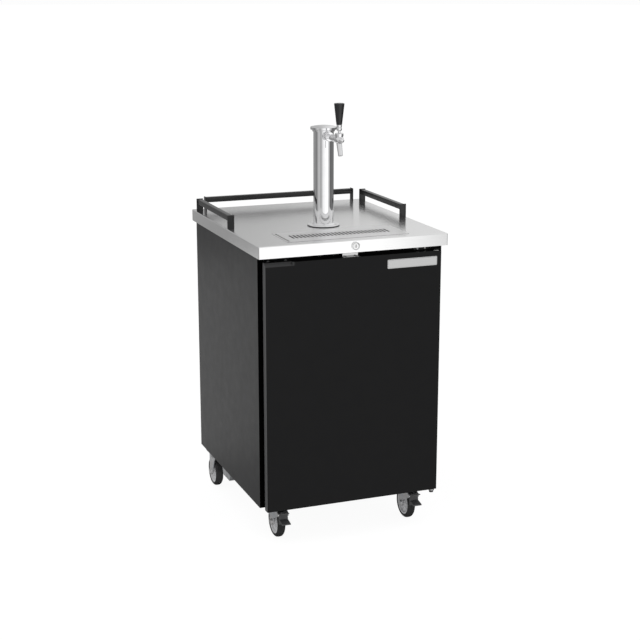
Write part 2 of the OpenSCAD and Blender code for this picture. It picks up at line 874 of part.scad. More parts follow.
module faucet_body() {
    wall_t = 2.4;
    barrel = chamber_r + wall_t;
    swell = bore_r + 2.5 * wall_t;
    swell_half = 6;
    waist = nose_r - wall_t;
    chamber_len = 16;
    chamber_back = seat_z - chamber_len;
    flange = shank_r - set_clear / 5;
    flange_end = tap_start + tap_flange_t;
    spout_back = 4;
    spout_taper = 1.5;
    color("lightgray") difference() {
        union() {
            forward() rotate_extrude() polygon(concat(
                [[0, tap_start], [flange, tap_start], [flange, flange_end], [tap_neck_r, flange_end]],
                ease(tap_neck_r, flange_end + 2 * lip_t, barrel, chamber_back - wall_t),
                ease(barrel, seat_z + wall_t, swell, lever_out - swell_half),
                ease(swell, lever_out + swell_half, waist, nose_out - wall_t),
                [[waist, nose_out], [0, nose_out]]
            ));
            forward() translate([0, 0, nose_out]) sphere(r = nose_r);
            at_lever() cylinder(r = boss_r, h = pivot_h);
            forward() translate([0, 0, lever_out - spout_back]) rotate([90 - spout_tilt, 0, 0])
                cylinder(r1 = spout_r + spout_taper, r2 = spout_r, h = spout_len);
        }
        forward() translate([0, 0, tap_start - through])
            cylinder(r = shank_bore_r + set_clear, h = lever_out - tap_start);
        forward() translate([0, 0, chamber_back]) cylinder(r = chamber_r, h = chamber_len);
        forward() translate([0, 0, chamber_back])
            cylinder(r = bore_r, h = lever_out + lever_end + move_clear - chamber_back);
        at_lever() translate([0, 0, pivot_h]) {
            cylinder(r = bonnet_r, h = bonnet_h);
            sphere(r = ball_r + move_clear);
            trunnion_hole();
        }
        at_lever() cylinder(r = ball_r - move_clear, h = pivot_h + through);
        forward() translate([0, 0, lever_out - spout_back]) rotate([90 - spout_tilt, 0, 0])
            cylinder(r = spout_bore_r, h = spout_len + through);
    }
}

module faucet_bonnet() {
    mouth = (neck_r + move_clear) / cos(lever_pull);
    edge = 2;
    color("lightgray") at_lever() translate([0, 0, pivot_h]) difference() {
        rotate_extrude() polygon(concat(
            [[0, 0], [bonnet_r, 0]],
            round_points(bonnet_r - edge, bonnet_h - edge, edge, 0, 90),
            [[0, bonnet_h]]
        ));
        sphere(r = ball_r + move_clear);
        trunnion_hole();
        cylinder(r1 = mouth, r2 = mouth + (bonnet_h + through) * tan(lever_pull), h = bonnet_h + through);
    }
}

module tap_lever() {
    stem_step = 0.4;
    stem_r = tip_r - stem_step;
    color("lightgray") at_lever() union() {
        sphere(r = tip_r);
        cylinder(r = stem_r, h = pivot_h);
        translate([0, 0, pivot_h]) {
            sphere(r = ball_r);
            rotate([0, 90, 0]) cylinder(r = trunnion_r, h = 2 * trunnion_half, center = true);
            cylinder(r = neck_r, h = handle_foot - ferrule_len - pivot_h + through);
        }
        translate([0, 0, handle_foot - ferrule_len]) cylinder(r = stud_r, h = ferrule_len + stud_h);
    }
}

module tap_ferrule() {
    chamfer = 4;
    groove = 0.8;
    color("lightgray") at_lever() translate([0, 0, handle_foot - ferrule_len]) rotate_extrude() polygon([
        [stud_r, 0], [ferrule_r - chamfer / 2, 0], [ferrule_r, chamfer],
        [ferrule_r, ferrule_len - 5 * groove], [ferrule_r - groove, ferrule_len - 4 * groove],
        [ferrule_r - groove, ferrule_len - 3 * groove],
        [ferrule_r, ferrule_len - 2 * groove], [ferrule_r, ferrule_len], [stud_r, ferrule_len]
    ]);
}

module tap_handle() {
    edge = 1.5;
    chamfer = 1;
    crown = 0.5;
    straight = handle_h * 0.3;
    color("#1c1c1e") at_lever() translate([0, 0, handle_foot]) rotate_extrude() polygon(concat(
        [[stud_r, 0], [handle_foot_r - chamfer, 0], [handle_foot_r, chamfer]],
        [[handle_foot_r + crown, straight]],
        round_points(handle_top_r - edge, handle_h - edge, edge, 0, 90),
        [[0, handle_h + crown], [0, stud_h], [stud_r, stud_h]]
    ));
}

module tap_plunger() {
    pocket = tip_r + 3 * move_clear;
    flat = pivot_h - ball_r - move_clear;
    washer_t = 4;
    rod_r = plunger_r / 2;
    color("#c8b06a") forward() difference() {
        union() {
            translate([0, 0, seat_z - move_clear - washer_t])
                cylinder(r = chamber_r - move_clear, h = washer_t);
            translate([0, 0, seat_z - through]) cylinder(r = rod_r, h = lever_out - seat_z);
            translate([0, 0, lever_out - lever_end]) cylinder(r = plunger_r, h = 2 * lever_end);
        }
        translate([-plunger_r - through, -pocket, lever_out - pocket])
            cube([2 * plunger_r + 2 * through, plunger_r + pocket + through, 2 * pocket]);
        translate([-plunger_r - through, flat, lever_out - lever_end - through])
            cube([2 * plunger_r + 2 * through, plunger_r, 2 * lever_end + 2 * through]);
    }
}

// Lock

module lock_barrel() {
    bezel_slope = 2;
    color("lightgray") at_lock() rotate_extrude() polygon([
        [plug_r + run_clear, -barrel_len], [barrel_r, -barrel_len], [barrel_r, 0], [bezel_r, 0],
        [bezel_r, lock_proud - bezel_slope], [bezel_r - bezel_slope, lock_proud],
        [plug_r + plug_shoulder, lock_proud], [plug_r + run_clear, lock_proud - plug_sunk]
    ]);
}

module lock_plug() {
    key_h = 1.8 * plug_r;
    key_w = 2;
    key_depth = 6;
    color("silver") at_lock() difference() {
        union() {
            translate([0, 0, -barrel_len - move_clear])
                cylinder(r = plug_r, h = barrel_len + move_clear + lock_proud - plug_sunk);
            translate([0, 0, -barrel_len - move_clear - cam_t])
                cylinder(r = plug_tail_r, h = cam_t + through);
        }
        translate([-key_w / 2, -key_h / 2, lock_proud - key_depth]) cube([key_w, key_h, key_depth]);
    }
}

module lock_cam() {
    color("silver") at_lock() translate([0, 0, -barrel_len - move_clear - cam_t]) difference() {
        union() {
            cylinder(r = plug_r + plug_shoulder, h = cam_t);
            translate([0, -cam_w / 2, 0]) cube([cam_len, cam_w, cam_t]);
        }
        translate([0, 0, -through]) cylinder(r = plug_tail_r, h = cam_t + 2 * through);
    }
}

// Door

// The door's outline in plan, drawn in by g, with round front corners
module door_plan(g) {
    w = door_w - 2 * g;
    r = max(door_edge_r - g, least_r);
    translate([-w / 2, door_front + g + r]) square([w, door_t - g - r]);
    translate([-w / 2 + r, door_front + g]) square([w - 2 * r, door_t - g]);
    for (x = [-1, 1])
        translate([x * (w / 2 - r), door_front + g + r]) circle(r = r);
}

// The sloped finger pull at the free top corner, grown by g
module door_pull(g) {
    x0 = -door_w / 2 - (g > 0 ? 0 : through);
    translate([x0 + (pull_w + g) / 2, 0, 0]) across_x(pull_w + g) polygon([
        [door_front - through, door_top + through], [door_front - through, door_top - pull_h - g],
        [door_front, door_top - pull_h - g], [door_front + pull_d + g, door_top - pull_lip - g],
        [door_front + pull_d + g, door_top + through]
    ]);
}

module hinge_holes() {
    depth = pin_depth + pin_end_gap;
    for (z = [door_bottom - through, door_top - depth])
        translate([hinge_x, hinge_y, z]) cylinder(r = bush_r, h = depth + through);
}

module door_skin() {
    color("#242426") difference() {
        union() {
            difference() {
                translate([0, 0, door_bottom]) linear_extrude(door_top - door_bottom) door_plan(0);
                translate([0, 0, door_bottom + skin_t])
                    linear_extrude(door_top - door_bottom - 2 * skin_t) difference() {
                        door_plan(skin_t);
                        translate([-door_w, door_back]) square([2 * door_w, through]);
                    }
                block([-door_w / 2 + skin_t, door_back - skin_t, door_bottom + skin_t],
                      [door_w / 2 - skin_t, door_back + through, door_top - skin_t]);
            }
            intersection() {
                translate([0, 0, door_bottom]) linear_extrude(door_top - door_bottom) door_plan(0);
                door_pull(pull_wall);
            }
        }
        door_pull(0);
        hinge_holes();
    }
}

module door_foam() {
    color("khaki") difference() {
        translate([0, 0, door_bottom + skin_t])
            linear_extrude(door_top - door_bottom - 2 * skin_t) intersection() {
                door_plan(skin_t);
                translate([-door_w, door_front]) square([2 * door_w, door_t - skin_t]);
            }
        door_pull(pull_wall);
        hinge_holes();
    }
}

module door_liner() {
    gasket_room = 4;
    edge = gasket_inset + gasket_w + gasket_room;
    color("gainsboro") union() {
        block([-door_w / 2 + skin_t, door_back - skin_t, door_bottom + skin_t],
              [door_w / 2 - skin_t, door_back, door_top - skin_t]);
        block([-door_w / 2 + edge, door_back, door_bottom + edge],
              [door_w / 2 - edge, door_back + dyke_h, door_top - edge]);
    }
}

// A rectangular ring on the door's back, between two insets from the door's edge
module door_ring(outer, inner, y0, y1) {
    difference() {
        block([-door_w / 2 + outer, y0, door_bottom + outer], [door_w / 2 - outer, y1, door_top - outer]);
        block([-door_w / 2 + inner, y0 - through, door_bottom + inner],
              [door_w / 2 - inner, y1 + through, door_top - inner]);
    }
}

module door_gasket() {
    groove = 2;
    groove_half = 1;
    mid = door_back + gasket_t / 2;
    color("#101010") difference() {
        door_ring(gasket_inset, gasket_inset + gasket_w, door_back, door_back + gasket_t);
        door_ring(gasket_inset - through, gasket_inset + groove, mid - groove_half, mid + groove_half);
        door_ring(gasket_inset + gasket_w - groove, gasket_inset + gasket_w + through,
                  mid - groove_half, mid + groove_half);
    }
}

module door_strike() {
    x0 = strike_x - strike_w / 2;
    y1 = strike_front + strike_t;
    color("silver") union() {
        block([x0, y1 - strike_d, door_top], [x0 + strike_w, y1, door_top + strike_t]);
        block([x0, strike_front, door_top], [x0 + strike_w, y1, door_top + strike_h]);
    }
}

module name_plate() {
    x1 = door_w / 2 - plate_inset;
    z1 = door_top - plate_drop;
    color("silver") block([x1 - plate_w, door_front - plate_t, z1 - plate_h], [x1, door_front, z1]);
}

module hinge_bushes() {
    color("white") for (end = [0, 1])
        translate([hinge_x, hinge_y, end ? door_top : door_bottom]) mirror([0, 0, end ? 1 : 0]) {
            tube(bush_r, pin_r + run_clear, pin_depth + set_clear);
            translate([0, 0, -bush_flange]) tube(bush_r + bush_wall, pin_r + run_clear, bush_flange);
        }
}

module top_hinge_bracket() {
    z0 = door_top + hinge_gap;
    color("silver") union() {
        block([hinge_x + lug_r - bracket_w, body_front - bracket_t, z0],
              [hinge_x + lug_r, body_front, z0 + bracket_leg]);
        block([hinge_x - lug_r, hinge_y, z0], [hinge_x + lug_r, body_front - bracket_t, z0 + bracket_t]);
        translate([hinge_x, hinge_y, z0]) cylinder(r = lug_r, h = bracket_t);
        translate([hinge_x, hinge_y, door_top - pin_depth])
            cylinder(r = pin_r, h = pin_depth + hinge_gap + through);
    }
}

module bottom_hinge_bracket() {
    z1 = door_bottom - hinge_gap;
    foot_w = 44;
    foot_d = 36;
    x0 = hinge_x + lug_r - foot_w;
    y0 = body_front + panel_t + set_clear;
    color("silver") union() {
        block([x0, y0, body_z - bracket_t], [x0 + foot_w, y0 + foot_d, body_z]);
        block([x0, y0, z1 - bracket_t], [x0 + foot_w, y0 + bracket_t, body_z]);
        block([hinge_x - lug_r, hinge_y, z1 - bracket_t], [hinge_x + lug_r, y0 + bracket_t, z1]);
        translate([hinge_x, hinge_y, z1 - bracket_t]) cylinder(r = lug_r, h = bracket_t);
        translate([hinge_x, hinge_y, z1 - through]) cylinder(r = pin_r, h = pin_depth + hinge_gap + through);
    }
}

// Casters: corner 0 is front left, 1 front right, 2 rear left, 3 rear right

function caster_x(i) = (i % 2 == 0 ? -1 : 1) * (i < 2 ? front_caster_x : rear_caster_x);
function swivel_y(i) = front_y + (i < 2 ? front_wheel_y + trail : rear_wheel_y - trail);

// A caster's own axes: upright on its swivel axis, with its wheel trailing along local Y
module at_caster(i) {
    translate([caster_x(i), swivel_y(i), 0]) rotate([0, 0, i < 2 ? 180 : 0]) children();
}

// A wheel's own axes: local Z along the axle, from the middle of the wheel
module at_wheel(i) {
    at_caster(i) translate([0, trail, wheel_r]) rotate([0, 90, 0]) children();
}

module caster_plates() {
    head_h = 3;
    head_rim = 3;
    plate_mid = 6;
    head_z = crown_top - crown_t - move_clear - head_h;
    color("#b9bcc0") for (i = [0:3])
        at_caster(i) {
            translate([-caster_plate_w / 2, plate_mid - caster_plate_d / 2, caster_h - caster_plate_t])
                cube([caster_plate_w, caster_plate_d, caster_plate_t]);
            translate([0, 0, caster_h - caster_plate_t - race_h]) cylinder(r = race_r, h = race_h);
            translate([0, 0, head_z]) {
                cylinder(r = king_r + head_rim, h = head_h);
                cylinder(r = king_r, h = caster_h - caster_plate_t - head_z);
            }
        }
}

// A fork's leg in side view, in local Y and Z: crown corner, axle eye and a forward ear for a brake
module fork_leg(brake) {
    eye = axle_r + eye_wall;
    translate([trail, wheel_r]) circle(r = eye);
    polygon([
        [crown_back, crown_top], [trail - eye, wheel_r], [trail + eye, wheel_r], [crown_front, crown_top]
    ]);
    if (brake) {
        ear = 2 * pedal_pin_r;
        y = trail + pedal_pivot_y;
        polygon([
            [trail, crown_top], [crown_front, crown_top], [y, pedal_pivot_z + ear],
            [y, pedal_pivot_z - ear], [trail + eye, wheel_r + eye]
        ]);
        translate([y, pedal_pivot_z]) circle(r = ear);
    }
}

module caster_fork(i) {
    nut_w = 5;
    nut_rim = 4;
    color("#b9bcc0") at_caster(i) union() {
        for (side = [-1, 1])
            translate([side * (fork_inner + leg_t) / 2, 0, 0]) across_x(leg_t) fork_leg(i < 2);
        difference() {
            union() {
                translate([0, 0, crown_top - crown_t]) cylinder(r = race_r, h = crown_t);
                translate([-fork_inner / 2, crown_back, crown_top - crown_t])
                    cube([fork_inner, crown_front - crown_back, crown_t]);
            }
            translate([0, 0, crown_top - crown_t - through])
                cylinder(r = king_r + run_clear, h = crown_t + 2 * through);
        }
        translate([0, trail, wheel_r]) rotate([0, 90, 0])
            cylinder(r = axle_r, h = fork_inner + 2 * leg_t, center = true);
        for (side = [-1, 1])
            translate([side * (fork_inner / 2 + leg_t + nut_w / 2), trail, wheel_r]) rotate([0, 90, 0])
                cylinder(r = axle_r + nut_rim, h = nut_w, center = true, $fn = 6);
        if (i < 2)
            translate([0, trail + pedal_pivot_y, pedal_pivot_z]) rotate([0, 90, 0])
                cylinder(r = pedal_pin_r, h = fork_inner + 2 * leg_t, center = true);
    }
}

module wheel_hub(i) {
    hub_wall = 9;
    hub_r = axle_r + hub_wall;
    web = 5;
    rim = 6;
    half = wheel_w / 2;
    edge = half - bead;
    color("#8e9194") at_wheel(i) rotate_extrude() polygon([
        [axle_r + run_clear, -half], [hub_r, -half], [hub_r + bead, -web], [core_r - rim, -web],
        [core_r - rim + bead, -edge], [core_r, -edge], [core_r, edge], [core_r - rim + bead, edge],
        [core_r - rim, web], [hub_r + bead, web], [hub_r, half], [axle_r + run_clear, half]
    ]);
}

module tyre(i) {
    half = wheel_w / 2;
    shoulder = 5;
    color("#222224") at_wheel(i) rotate_extrude() polygon(concat(
        [[core_r, bead - half], [core_r + bead, -half]],
        round_points(wheel_r - shoulder, shoulder - half, shoulder, -90, 0),
        round_points(wheel_r - shoulder, half - shoulder, shoulder, 0, 90),
        [[core_r + bead, half], [core_r, half - bead]]
    ));
}

// A pedal's sheet in side view, drawn from the pivot: Y outwards and Z up
module pedal_sheet(w, points) {
    translate([0, trail + pedal_pivot_y, pedal_pivot_z]) across_x(w) polygon(points);
}

module brake_pedal(i) {
    reach = pedal_out - pedal_pivot_y;
    sheet = 4;
    half = sheet / 2;
    edge = 1;
    root = pedal_pin_r + half;
    tread_drop = 14;
    shoe_drop = 30;
    tab_rise = 12;
    tab_t = 3;
    tab_narrow = 8;
    color("#4a4c50") at_caster(i) difference() {
        union() {
            pedal_sheet(fork_inner - 2 * move_clear, [
                [-root, sheet], [root, root], [2 * sheet, half - tread_drop], [root + edge, -shoe_drop],
                [edge, -shoe_drop], [half, -tread_drop], [-sheet, -sheet]
            ]);
            pedal_sheet(pedal_w, [
                [2 * sheet, -tread_drop], [reach - half, -tread_drop - root],
                [reach, -tread_drop - 2 * sheet], [reach - half, -tread_drop - 2 * sheet - edge],
                [2 * sheet - edge, -tread_drop - sheet]
            ]);
            pedal_sheet(pedal_w - tab_narrow, [
                [-tab_t, tab_t], [reach - sheet, tab_rise], [reach - sheet, tab_rise + tab_t],
                [-tab_t, 2 * sheet]
            ]);
        }
        translate([0, trail + pedal_pivot_y, pedal_pivot_z]) rotate([0, 90, 0])
            cylinder(r = pedal_pin_r + run_clear, h = 2 * pedal_w, center = true);
    }
}

// Cooling

module compressor() {
    can_r = can_d / 2;
    foot_t = 3;
    foot_rise = 14;
    foot_w = 168;
    foot_d = can_d;
    foot_r = 11;
    foot_inset = 14;
    compressor_gap = 93.8;
    compressor_x = inner_w / 2 - compressor_gap - foot_w / 2;
    seam_h = can_h * 0.4;
    seam = 2;
    dome_h = can_h * 0.45;
    bowl = 10;
    stub_r = 5;
    stub_len = 26;
    color("#1d1d1f") translate([compressor_x, bay_front + bay_d / 2, bay_floor]) {
        for (sx = [-1, 1], sy = [-1, 1])
            translate([sx * (foot_w / 2 - foot_inset), sy * (foot_d / 2 - foot_inset), 0])
                cylinder(r = foot_r, h = foot_rise);
        difference() {
            translate([-foot_w / 2, -foot_d / 2, foot_rise]) cube([foot_w, foot_d, foot_t]);
            translate([0, 0, foot_rise - through]) cylinder(r = can_r - foot_inset, h = foot_t + 2 * through);
        }
        translate([0, 0, foot_rise + foot_t]) rotate_extrude() polygon(concat(
            [[0, 0], [can_r - bowl, 0], [can_r, bowl], [can_r, seam_h], [can_r - seam, seam_h + 2 * seam]],
            [for (a = [0:10:90]) [(can_r - seam) * cos(a), can_h - dome_h + dome_h * sin(a)]]
        ));
        translate([can_r - 2 * stub_r, 0, can_h * 0.3 + foot_rise]) rotate([0, 90, 0])
            cylinder(r = stub_r, h = stub_len);
    }
}

// A motor with its shaft along local Z, its face at zero
module fan_motor(r, len) {
    translate([0, 0, -len]) cylinder(r = r, h = len);
    translate([0, 0, -through]) cylinder(r = shaft_r, h = motor_gap + fan_depth + through);
}

// A fan with its hub and pitched blades, along local Z from zero
module fan(r) {
    hub_r = r * 0.3;
    blades = 5;
    pitch = 28;
    chord = r * 0.84;
    blade_t = 2;
    difference() {
        union() {
            cylinder(r = hub_r, h = fan_depth);
            intersection() {
                tube(r, hub_r - blade_t, fan_depth);
                for (i = [0:blades - 1])
                    rotate([0, 0, i * 360 / blades]) translate([hub_r - blade_t, 0, fan_depth / 2])
                        rotate([pitch, 0, 0]) translate([0, -chord / 2, -blade_t / 2])
                            cube([r, chord, blade_t]);
            }
        }
        translate([0, 0, -through]) cylinder(r = shaft_r + run_clear, h = fan_depth + 2 * through);
    }
}

module condenser() {
    fins = 13;
    fin_t = 1;
    coil_h = 2 * (cond_fan_r + cond_fan_rise);
    coil_gap = 12;
    coil_y0 = bay_front + coil_gap;
    coil_d = bay_d - 2 * coil_gap;
    tubes = 5;
    pipe_r = 5;
    pipe_out = coil_gap / 2;
    pipe_margin = 24;
    pipe_pitch = (coil_h - 2 * pipe_margin) / (tubes - 1);
    motor_r = 26;
    motor_len = 44;
    motor_x = cond_fan_x + fan_depth + motor_gap;
    stand_w = 30;
    stand_t = 3;
    stand_x = motor_x + 2 * motor_gap;
    color("#9a9da1") {
        for (i = [0:fins - 1])
            translate([cond_x, coil_y0 + i * (coil_d - fin_t) / (fins - 1), bay_floor])
                cube([cond_w, fin_t, coil_h]);
        for (k = [0:tubes - 1])
            translate([cond_x + cond_w / 2, coil_y0 - pipe_out, bay_floor + pipe_margin + k * pipe_pitch])
                rotate([-90, 0, 0]) cylinder(r = pipe_r, h = coil_d + 2 * pipe_out - fin_t);
        translate([motor_x, cond_mid_y, cond_fan_z]) rotate([0, -90, 0]) fan_motor(motor_r, motor_len);
        translate([stand_x, cond_mid_y - stand_w / 2, bay_floor]) {
            cube([stand_t, stand_w, cond_fan_z - bay_floor]);
            cube([stand_w, stand_w, stand_t]);
        }
    }
}

module condenser_fan() {
    color("#2a2a2c") translate([cond_fan_x, cond_mid_y, cond_fan_z]) rotate([0, 90, 0]) fan(cond_fan_r);
}

// The openings of a punched fan guard: rings of slots between two crossed bars
module guard_openings(r) {
    rings = 4;
    wire = 3;
    core = r * 0.2;
    step = (r - core) / rings;
    difference() {
        for (k = [1:rings])
            difference() {
                circle(r = core + k * step);
                circle(r = core + (k - 1) * step + wire);
            }
        for (a = [0, 90])
            rotate(a) square([2 * r + wire, 2 * wire], center = true);
    }
}

module evaporator_cover() {
    half = evap_w / 2;
    motor_y = evap_front + evap_fan_gap + fan_depth + motor_gap;
    y1 = cav_high_y - liner_t;
    top = evap_z0 + evap_h;
    vent_w = 8;
    vent_pitch = 14;
    vent_margin = 20;
    motor_r = 28;
    motor_len = 46;
    strap_w = 24;
    strap_t = 3;
    strap_y = motor_y + motor_len - 2 * strap_t;
    color("whitesmoke") {
        difference() {
            block([-half, evap_front, evap_z0], [half, y1, top]);
            block([-half + evap_shell, evap_front + evap_shell, evap_z0 + evap_shell],
                  [half - evap_shell, y1 + through, top - evap_shell]);
            translate([0, evap_front + evap_shell + through, evap_fan_z]) rotate([90, 0, 0])
                linear_extrude(evap_shell + 2 * through) guard_openings(evap_fan_r);
            for (x = [-half + vent_margin:vent_pitch:half - vent_margin])
                block([x - vent_w / 2, evap_front + vent_margin, top - evap_shell - through],
                      [x + vent_w / 2, y1 - vent_margin, top + through]);
        }
        translate([0, motor_y, evap_fan_z]) rotate([90, 0, 0]) fan_motor(motor_r, motor_len);
        block([-half + evap_shell, strap_y, evap_fan_z - strap_w / 2],
              [half - evap_shell, strap_y + strap_t, evap_fan_z + strap_w / 2]);
        translate([knob_x, evap_front + evap_shell, knob_z]) rotate([90, 0, 0])
            cylinder(r = knob_pin_r, h = evap_shell + knob_pin_len);
    }
}

module evaporator_fan() {
    color("#2a2a2c") translate([0, evap_front + evap_fan_gap + fan_depth, evap_fan_z]) rotate([90, 0, 0])
        fan(evap_fan_r);
}

module thermostat_knob() {
    skirt_h = 5;
    knob_h = 15;
    step = 3;
    mark_w = 4;
    color("#202022") translate([knob_x, evap_front - move_clear, knob_z]) rotate([90, 0, 0]) difference() {
        union() {
            cylinder(r = knob_r, h = skirt_h);
            cylinder(r = knob_r - step, h = knob_h);
            translate([-mark_w / 2, knob_r / 2, skirt_h / 2])
                cube([mark_w, knob_r / 2, knob_h - skirt_h / 2]);
        }
        translate([0, 0, -through]) cylinder(r = knob_pin_r + run_clear, h = knob_pin_len + through);
    }
}

worktop();
drip_pan();
side_rail(-1);  // rail_left
side_rail(1);  // rail_right
rail_rear();
side_panel_left();
side_panel_right();
rear_panel();
base_pan();
front_frame();
inner_liner();
insulation();
rear_grommets();
tower_gasket();
tower_column();
tower_cap();
beer_shank();
shank_nut();
faucet_coupling();
faucet_body();
faucet_bonnet();
lock_barrel();
top_hinge_bracket();
bottom_hinge_bracket();
caster_plates();
compressor();
condenser();
evaporator_cover();
condensate_pan();
door_skin();
door_foam();
door_liner();
door_gasket();
door_strike();
name_plate();
hinge_bushes();
lock_plug();
lock_cam();
tap_lever();
tap_ferrule();
tap_handle();
tap_plunger();
drip_grille();
evaporator_fan();
condenser_fan();
thermostat_knob();
caster_fork(0);  // caster_fork_front_left
caster_fork(1);  // caster_fork_front_right
caster_fork(2);  // caster_fork_rear_left
caster_fork(3);  // caster_fork_rear_right
wheel_hub(0);  // wheel_hub_front_left
wheel_hub(1);  // wheel_hub_front_right
wheel_hub(2);  // wheel_hub_rear_left
wheel_hub(3);  // wheel_hub_rear_right
tyre(0);  // tyre_front_left
tyre(1);  // tyre_front_right
tyre(2);  // tyre_rear_left
tyre(3);  // tyre_rear_right
brake_pedal(0);  // brake_pedal_front_left
brake_pedal(1);  // brake_pedal_front_right
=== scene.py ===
"""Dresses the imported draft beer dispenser: finishes, small pieces, and the studio it stands in."""

import math

import bmesh
import bpy
import numpy as np
from bpy.props import FloatProperty, FloatVectorProperty, IntProperty, PointerProperty
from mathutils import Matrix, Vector


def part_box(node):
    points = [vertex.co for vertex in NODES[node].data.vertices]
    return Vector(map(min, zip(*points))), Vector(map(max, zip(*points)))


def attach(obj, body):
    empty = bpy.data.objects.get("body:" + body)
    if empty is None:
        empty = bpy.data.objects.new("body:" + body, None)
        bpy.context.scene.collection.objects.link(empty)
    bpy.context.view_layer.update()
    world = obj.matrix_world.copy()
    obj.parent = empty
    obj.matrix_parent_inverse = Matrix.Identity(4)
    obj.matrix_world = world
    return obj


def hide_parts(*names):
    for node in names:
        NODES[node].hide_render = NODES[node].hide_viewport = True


bl_info = {
    "name": "Draft beer dispenser",
    "version": (1, 0, 0),
    "blender": (4, 5, 0),
    "location": "View3D > Sidebar > Dispenser",
    "description": "Finishes, fasteners, wheels and studio for a one-tap keg cooler",
    "category": "Object",
}

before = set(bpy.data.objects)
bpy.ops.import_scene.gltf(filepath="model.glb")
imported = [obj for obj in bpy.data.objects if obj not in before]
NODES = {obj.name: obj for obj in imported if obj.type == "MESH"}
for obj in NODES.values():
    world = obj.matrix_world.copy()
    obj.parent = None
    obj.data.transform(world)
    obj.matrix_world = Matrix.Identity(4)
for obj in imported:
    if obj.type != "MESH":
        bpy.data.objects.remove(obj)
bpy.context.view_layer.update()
CORNERS = ("front_left", "front_right", "rear_left", "rear_right")
FRONT, BACK, UP, DOWN, AXLE = (0, -1, 0), (0, 1, 0), (0, 0, 1), (0, 0, -1), (1, 0, 0)
BLACK, WHITE = (0, 0, 0), (1, 1, 1)
MM = 0.001

# Width over which the painted shade on the side sheets' front return fades at its edge
SEAM = 0.4 * MM
# Gap at the left of the grille, by which the tray's opening is wider
TRAY_GAP = 3.5 * MM
# How far the handle starts above its solid's foot, with a collar taller by as much
GRIP_LIFT = 5 * MM
# Places of the caster swivels, and of the two plugged screw holes in the frame
SWIVEL_Y = 222 * MM
SPARE_X = (-265.7 * MM, -210.6 * MM)

# Brightness of the surround by the share of a full turn, where 0.5 is the front: level, then above
RING = (
    (0.0, 0.34), (0.05, 0.31), (0.12, 0.32), (0.20, 0.22), (0.30, 0.58), (0.36, 0.42), (0.45, 1.05),
    (0.56, 1.27), (0.63, 0.55), (0.67, 0.14), (0.78, 0.20), (0.86, 0.10), (0.95, 0.40), (1.0, 0.34),
)
SKY = ((0.0, 0.48), (0.12, 0.70), (0.88, 0.84), (0.927, 0.82), (0.952, 0.50), (1.0, 0.48))


# Values that a user would change


def swatch(name, description, *default):
    """A colour."""
    return FloatVectorProperty(
        name=name, description=description, default=default, subtype="COLOR", size=3, min=0, max=1,
    )


def length(name, description, default, low, high):
    """A length, given in millimetres."""
    return FloatProperty(
        name=name, description=description, default=default * MM, min=low * MM, max=high * MM,
        unit="LENGTH",
    )


class CaseSettings(bpy.types.PropertyGroup):
    """Cabinet, worktop and rails."""

    coat: swatch("Coat", "Colour of the black coated sheet", 0.0085, 0.0085, 0.009)
    grain: FloatProperty(
        name="Coat grain", description="Bumps of the coat's fine stipple in one metre",
        default=900, min=100, max=3000,
    )
    steel: swatch("Steel", "Colour of the brushed worktop", 0.86, 0.86, 0.86)
    brush: FloatProperty(
        name="Brush lines", description="Brush lines across one metre of steel",
        default=1600, min=200, max=6000,
    )
    bar_height: length("Rail height", "Height of a rail's bar", 17, 8, 30)
    bar_width: length("Rail width", "Width of a rail's bar", 16, 8, 21)


class TapSettings(bpy.types.PropertyGroup):
    """Tower, tap and handle."""

    chrome: swatch("Chrome", "Colour of the polished metal", 0.86, 0.86, 0.87)
    grip: swatch("Handle", "Colour of the tap handle", 0.010, 0.010, 0.011)
    turns: IntProperty(
        name="Segments", description="Faces round a turned piece", default=96, min=24, max=256,
    )


class DoorSettings(bpy.types.PropertyGroup):
    """Plate and gasket of the door."""

    plate_corner: length("Plate corner", "Corner radius of the bare plate", 3, 0.5, 15)
    plate_rim: length("Plate rim", "Width of the plate's raised rim", 2.2, 0.5, 8)
    gasket: swatch("Gasket", "Colour of the door gasket", 0.012, 0.012, 0.012)


class WheelSettings(bpy.types.PropertyGroup):
    """Tyres and wheel cores."""

    tyre: swatch("Tyre", "Colour of the rubber tyre", 0.016, 0.016, 0.0165)
    core: swatch("Core", "Colour of the moulded wheel core", 0.48, 0.48, 0.49)
    ribs: IntProperty(
        name="Ribs", description="Ribs on each face of the wheel core", default=8, min=3, max=16,
    )
    groove: length("Tread groove", "Depth of the tyre's grooves", 0.9, 0, 3)


class StageSettings(bpy.types.PropertyGroup):
    """Camera and floor."""

    camera: FloatVectorProperty(
        name="Camera", description="Place of the camera", subtype="TRANSLATION", unit="LENGTH",
        size=3, default=(-1.5703, -4.1220, 1.7445),
    )
    azimuth: FloatProperty(
        name="Azimuth", description="Turn of the camera about the upright, from the front",
        subtype="ANGLE", default=math.radians(-21.091),
    )
    elevation: FloatProperty(
        name="Elevation", description="Height of the camera above level",
        subtype="ANGLE", default=math.radians(14.298),
    )
    lens: FloatProperty(
        name="Lens", description="Focal length on a 36 mm sensor",
        subtype="DISTANCE_CAMERA", default=78.61, min=10,
    )
    floor: FloatProperty(
        name="Floor", description="Glow of the pale floor", default=0.93, min=0, max=2,
    )


# Meshes from arrays


def mm(*lengths):
    """Lengths given in millimetres."""
    return [value * MM for value in lengths]


def box_of(node):
    """The low and the high corner of a node's box."""
    low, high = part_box(node)
    return np.array(low), np.array(high)


def middle(node):
    """The middle of a node's box."""
    low, high = box_of(node)
    return (low + high) / 2


def full_turn(steps):
    """Angles of one turn, without its end."""
    return np.linspace(0, 2 * np.pi, steps, endpoint=False)


def polar(radius, angle, height):
    """Points at a radius, an angle about Z and a height."""
    parts = np.broadcast_arrays(radius * np.cos(angle), radius * np.sin(angle), height)
    return np.stack(parts, -1)


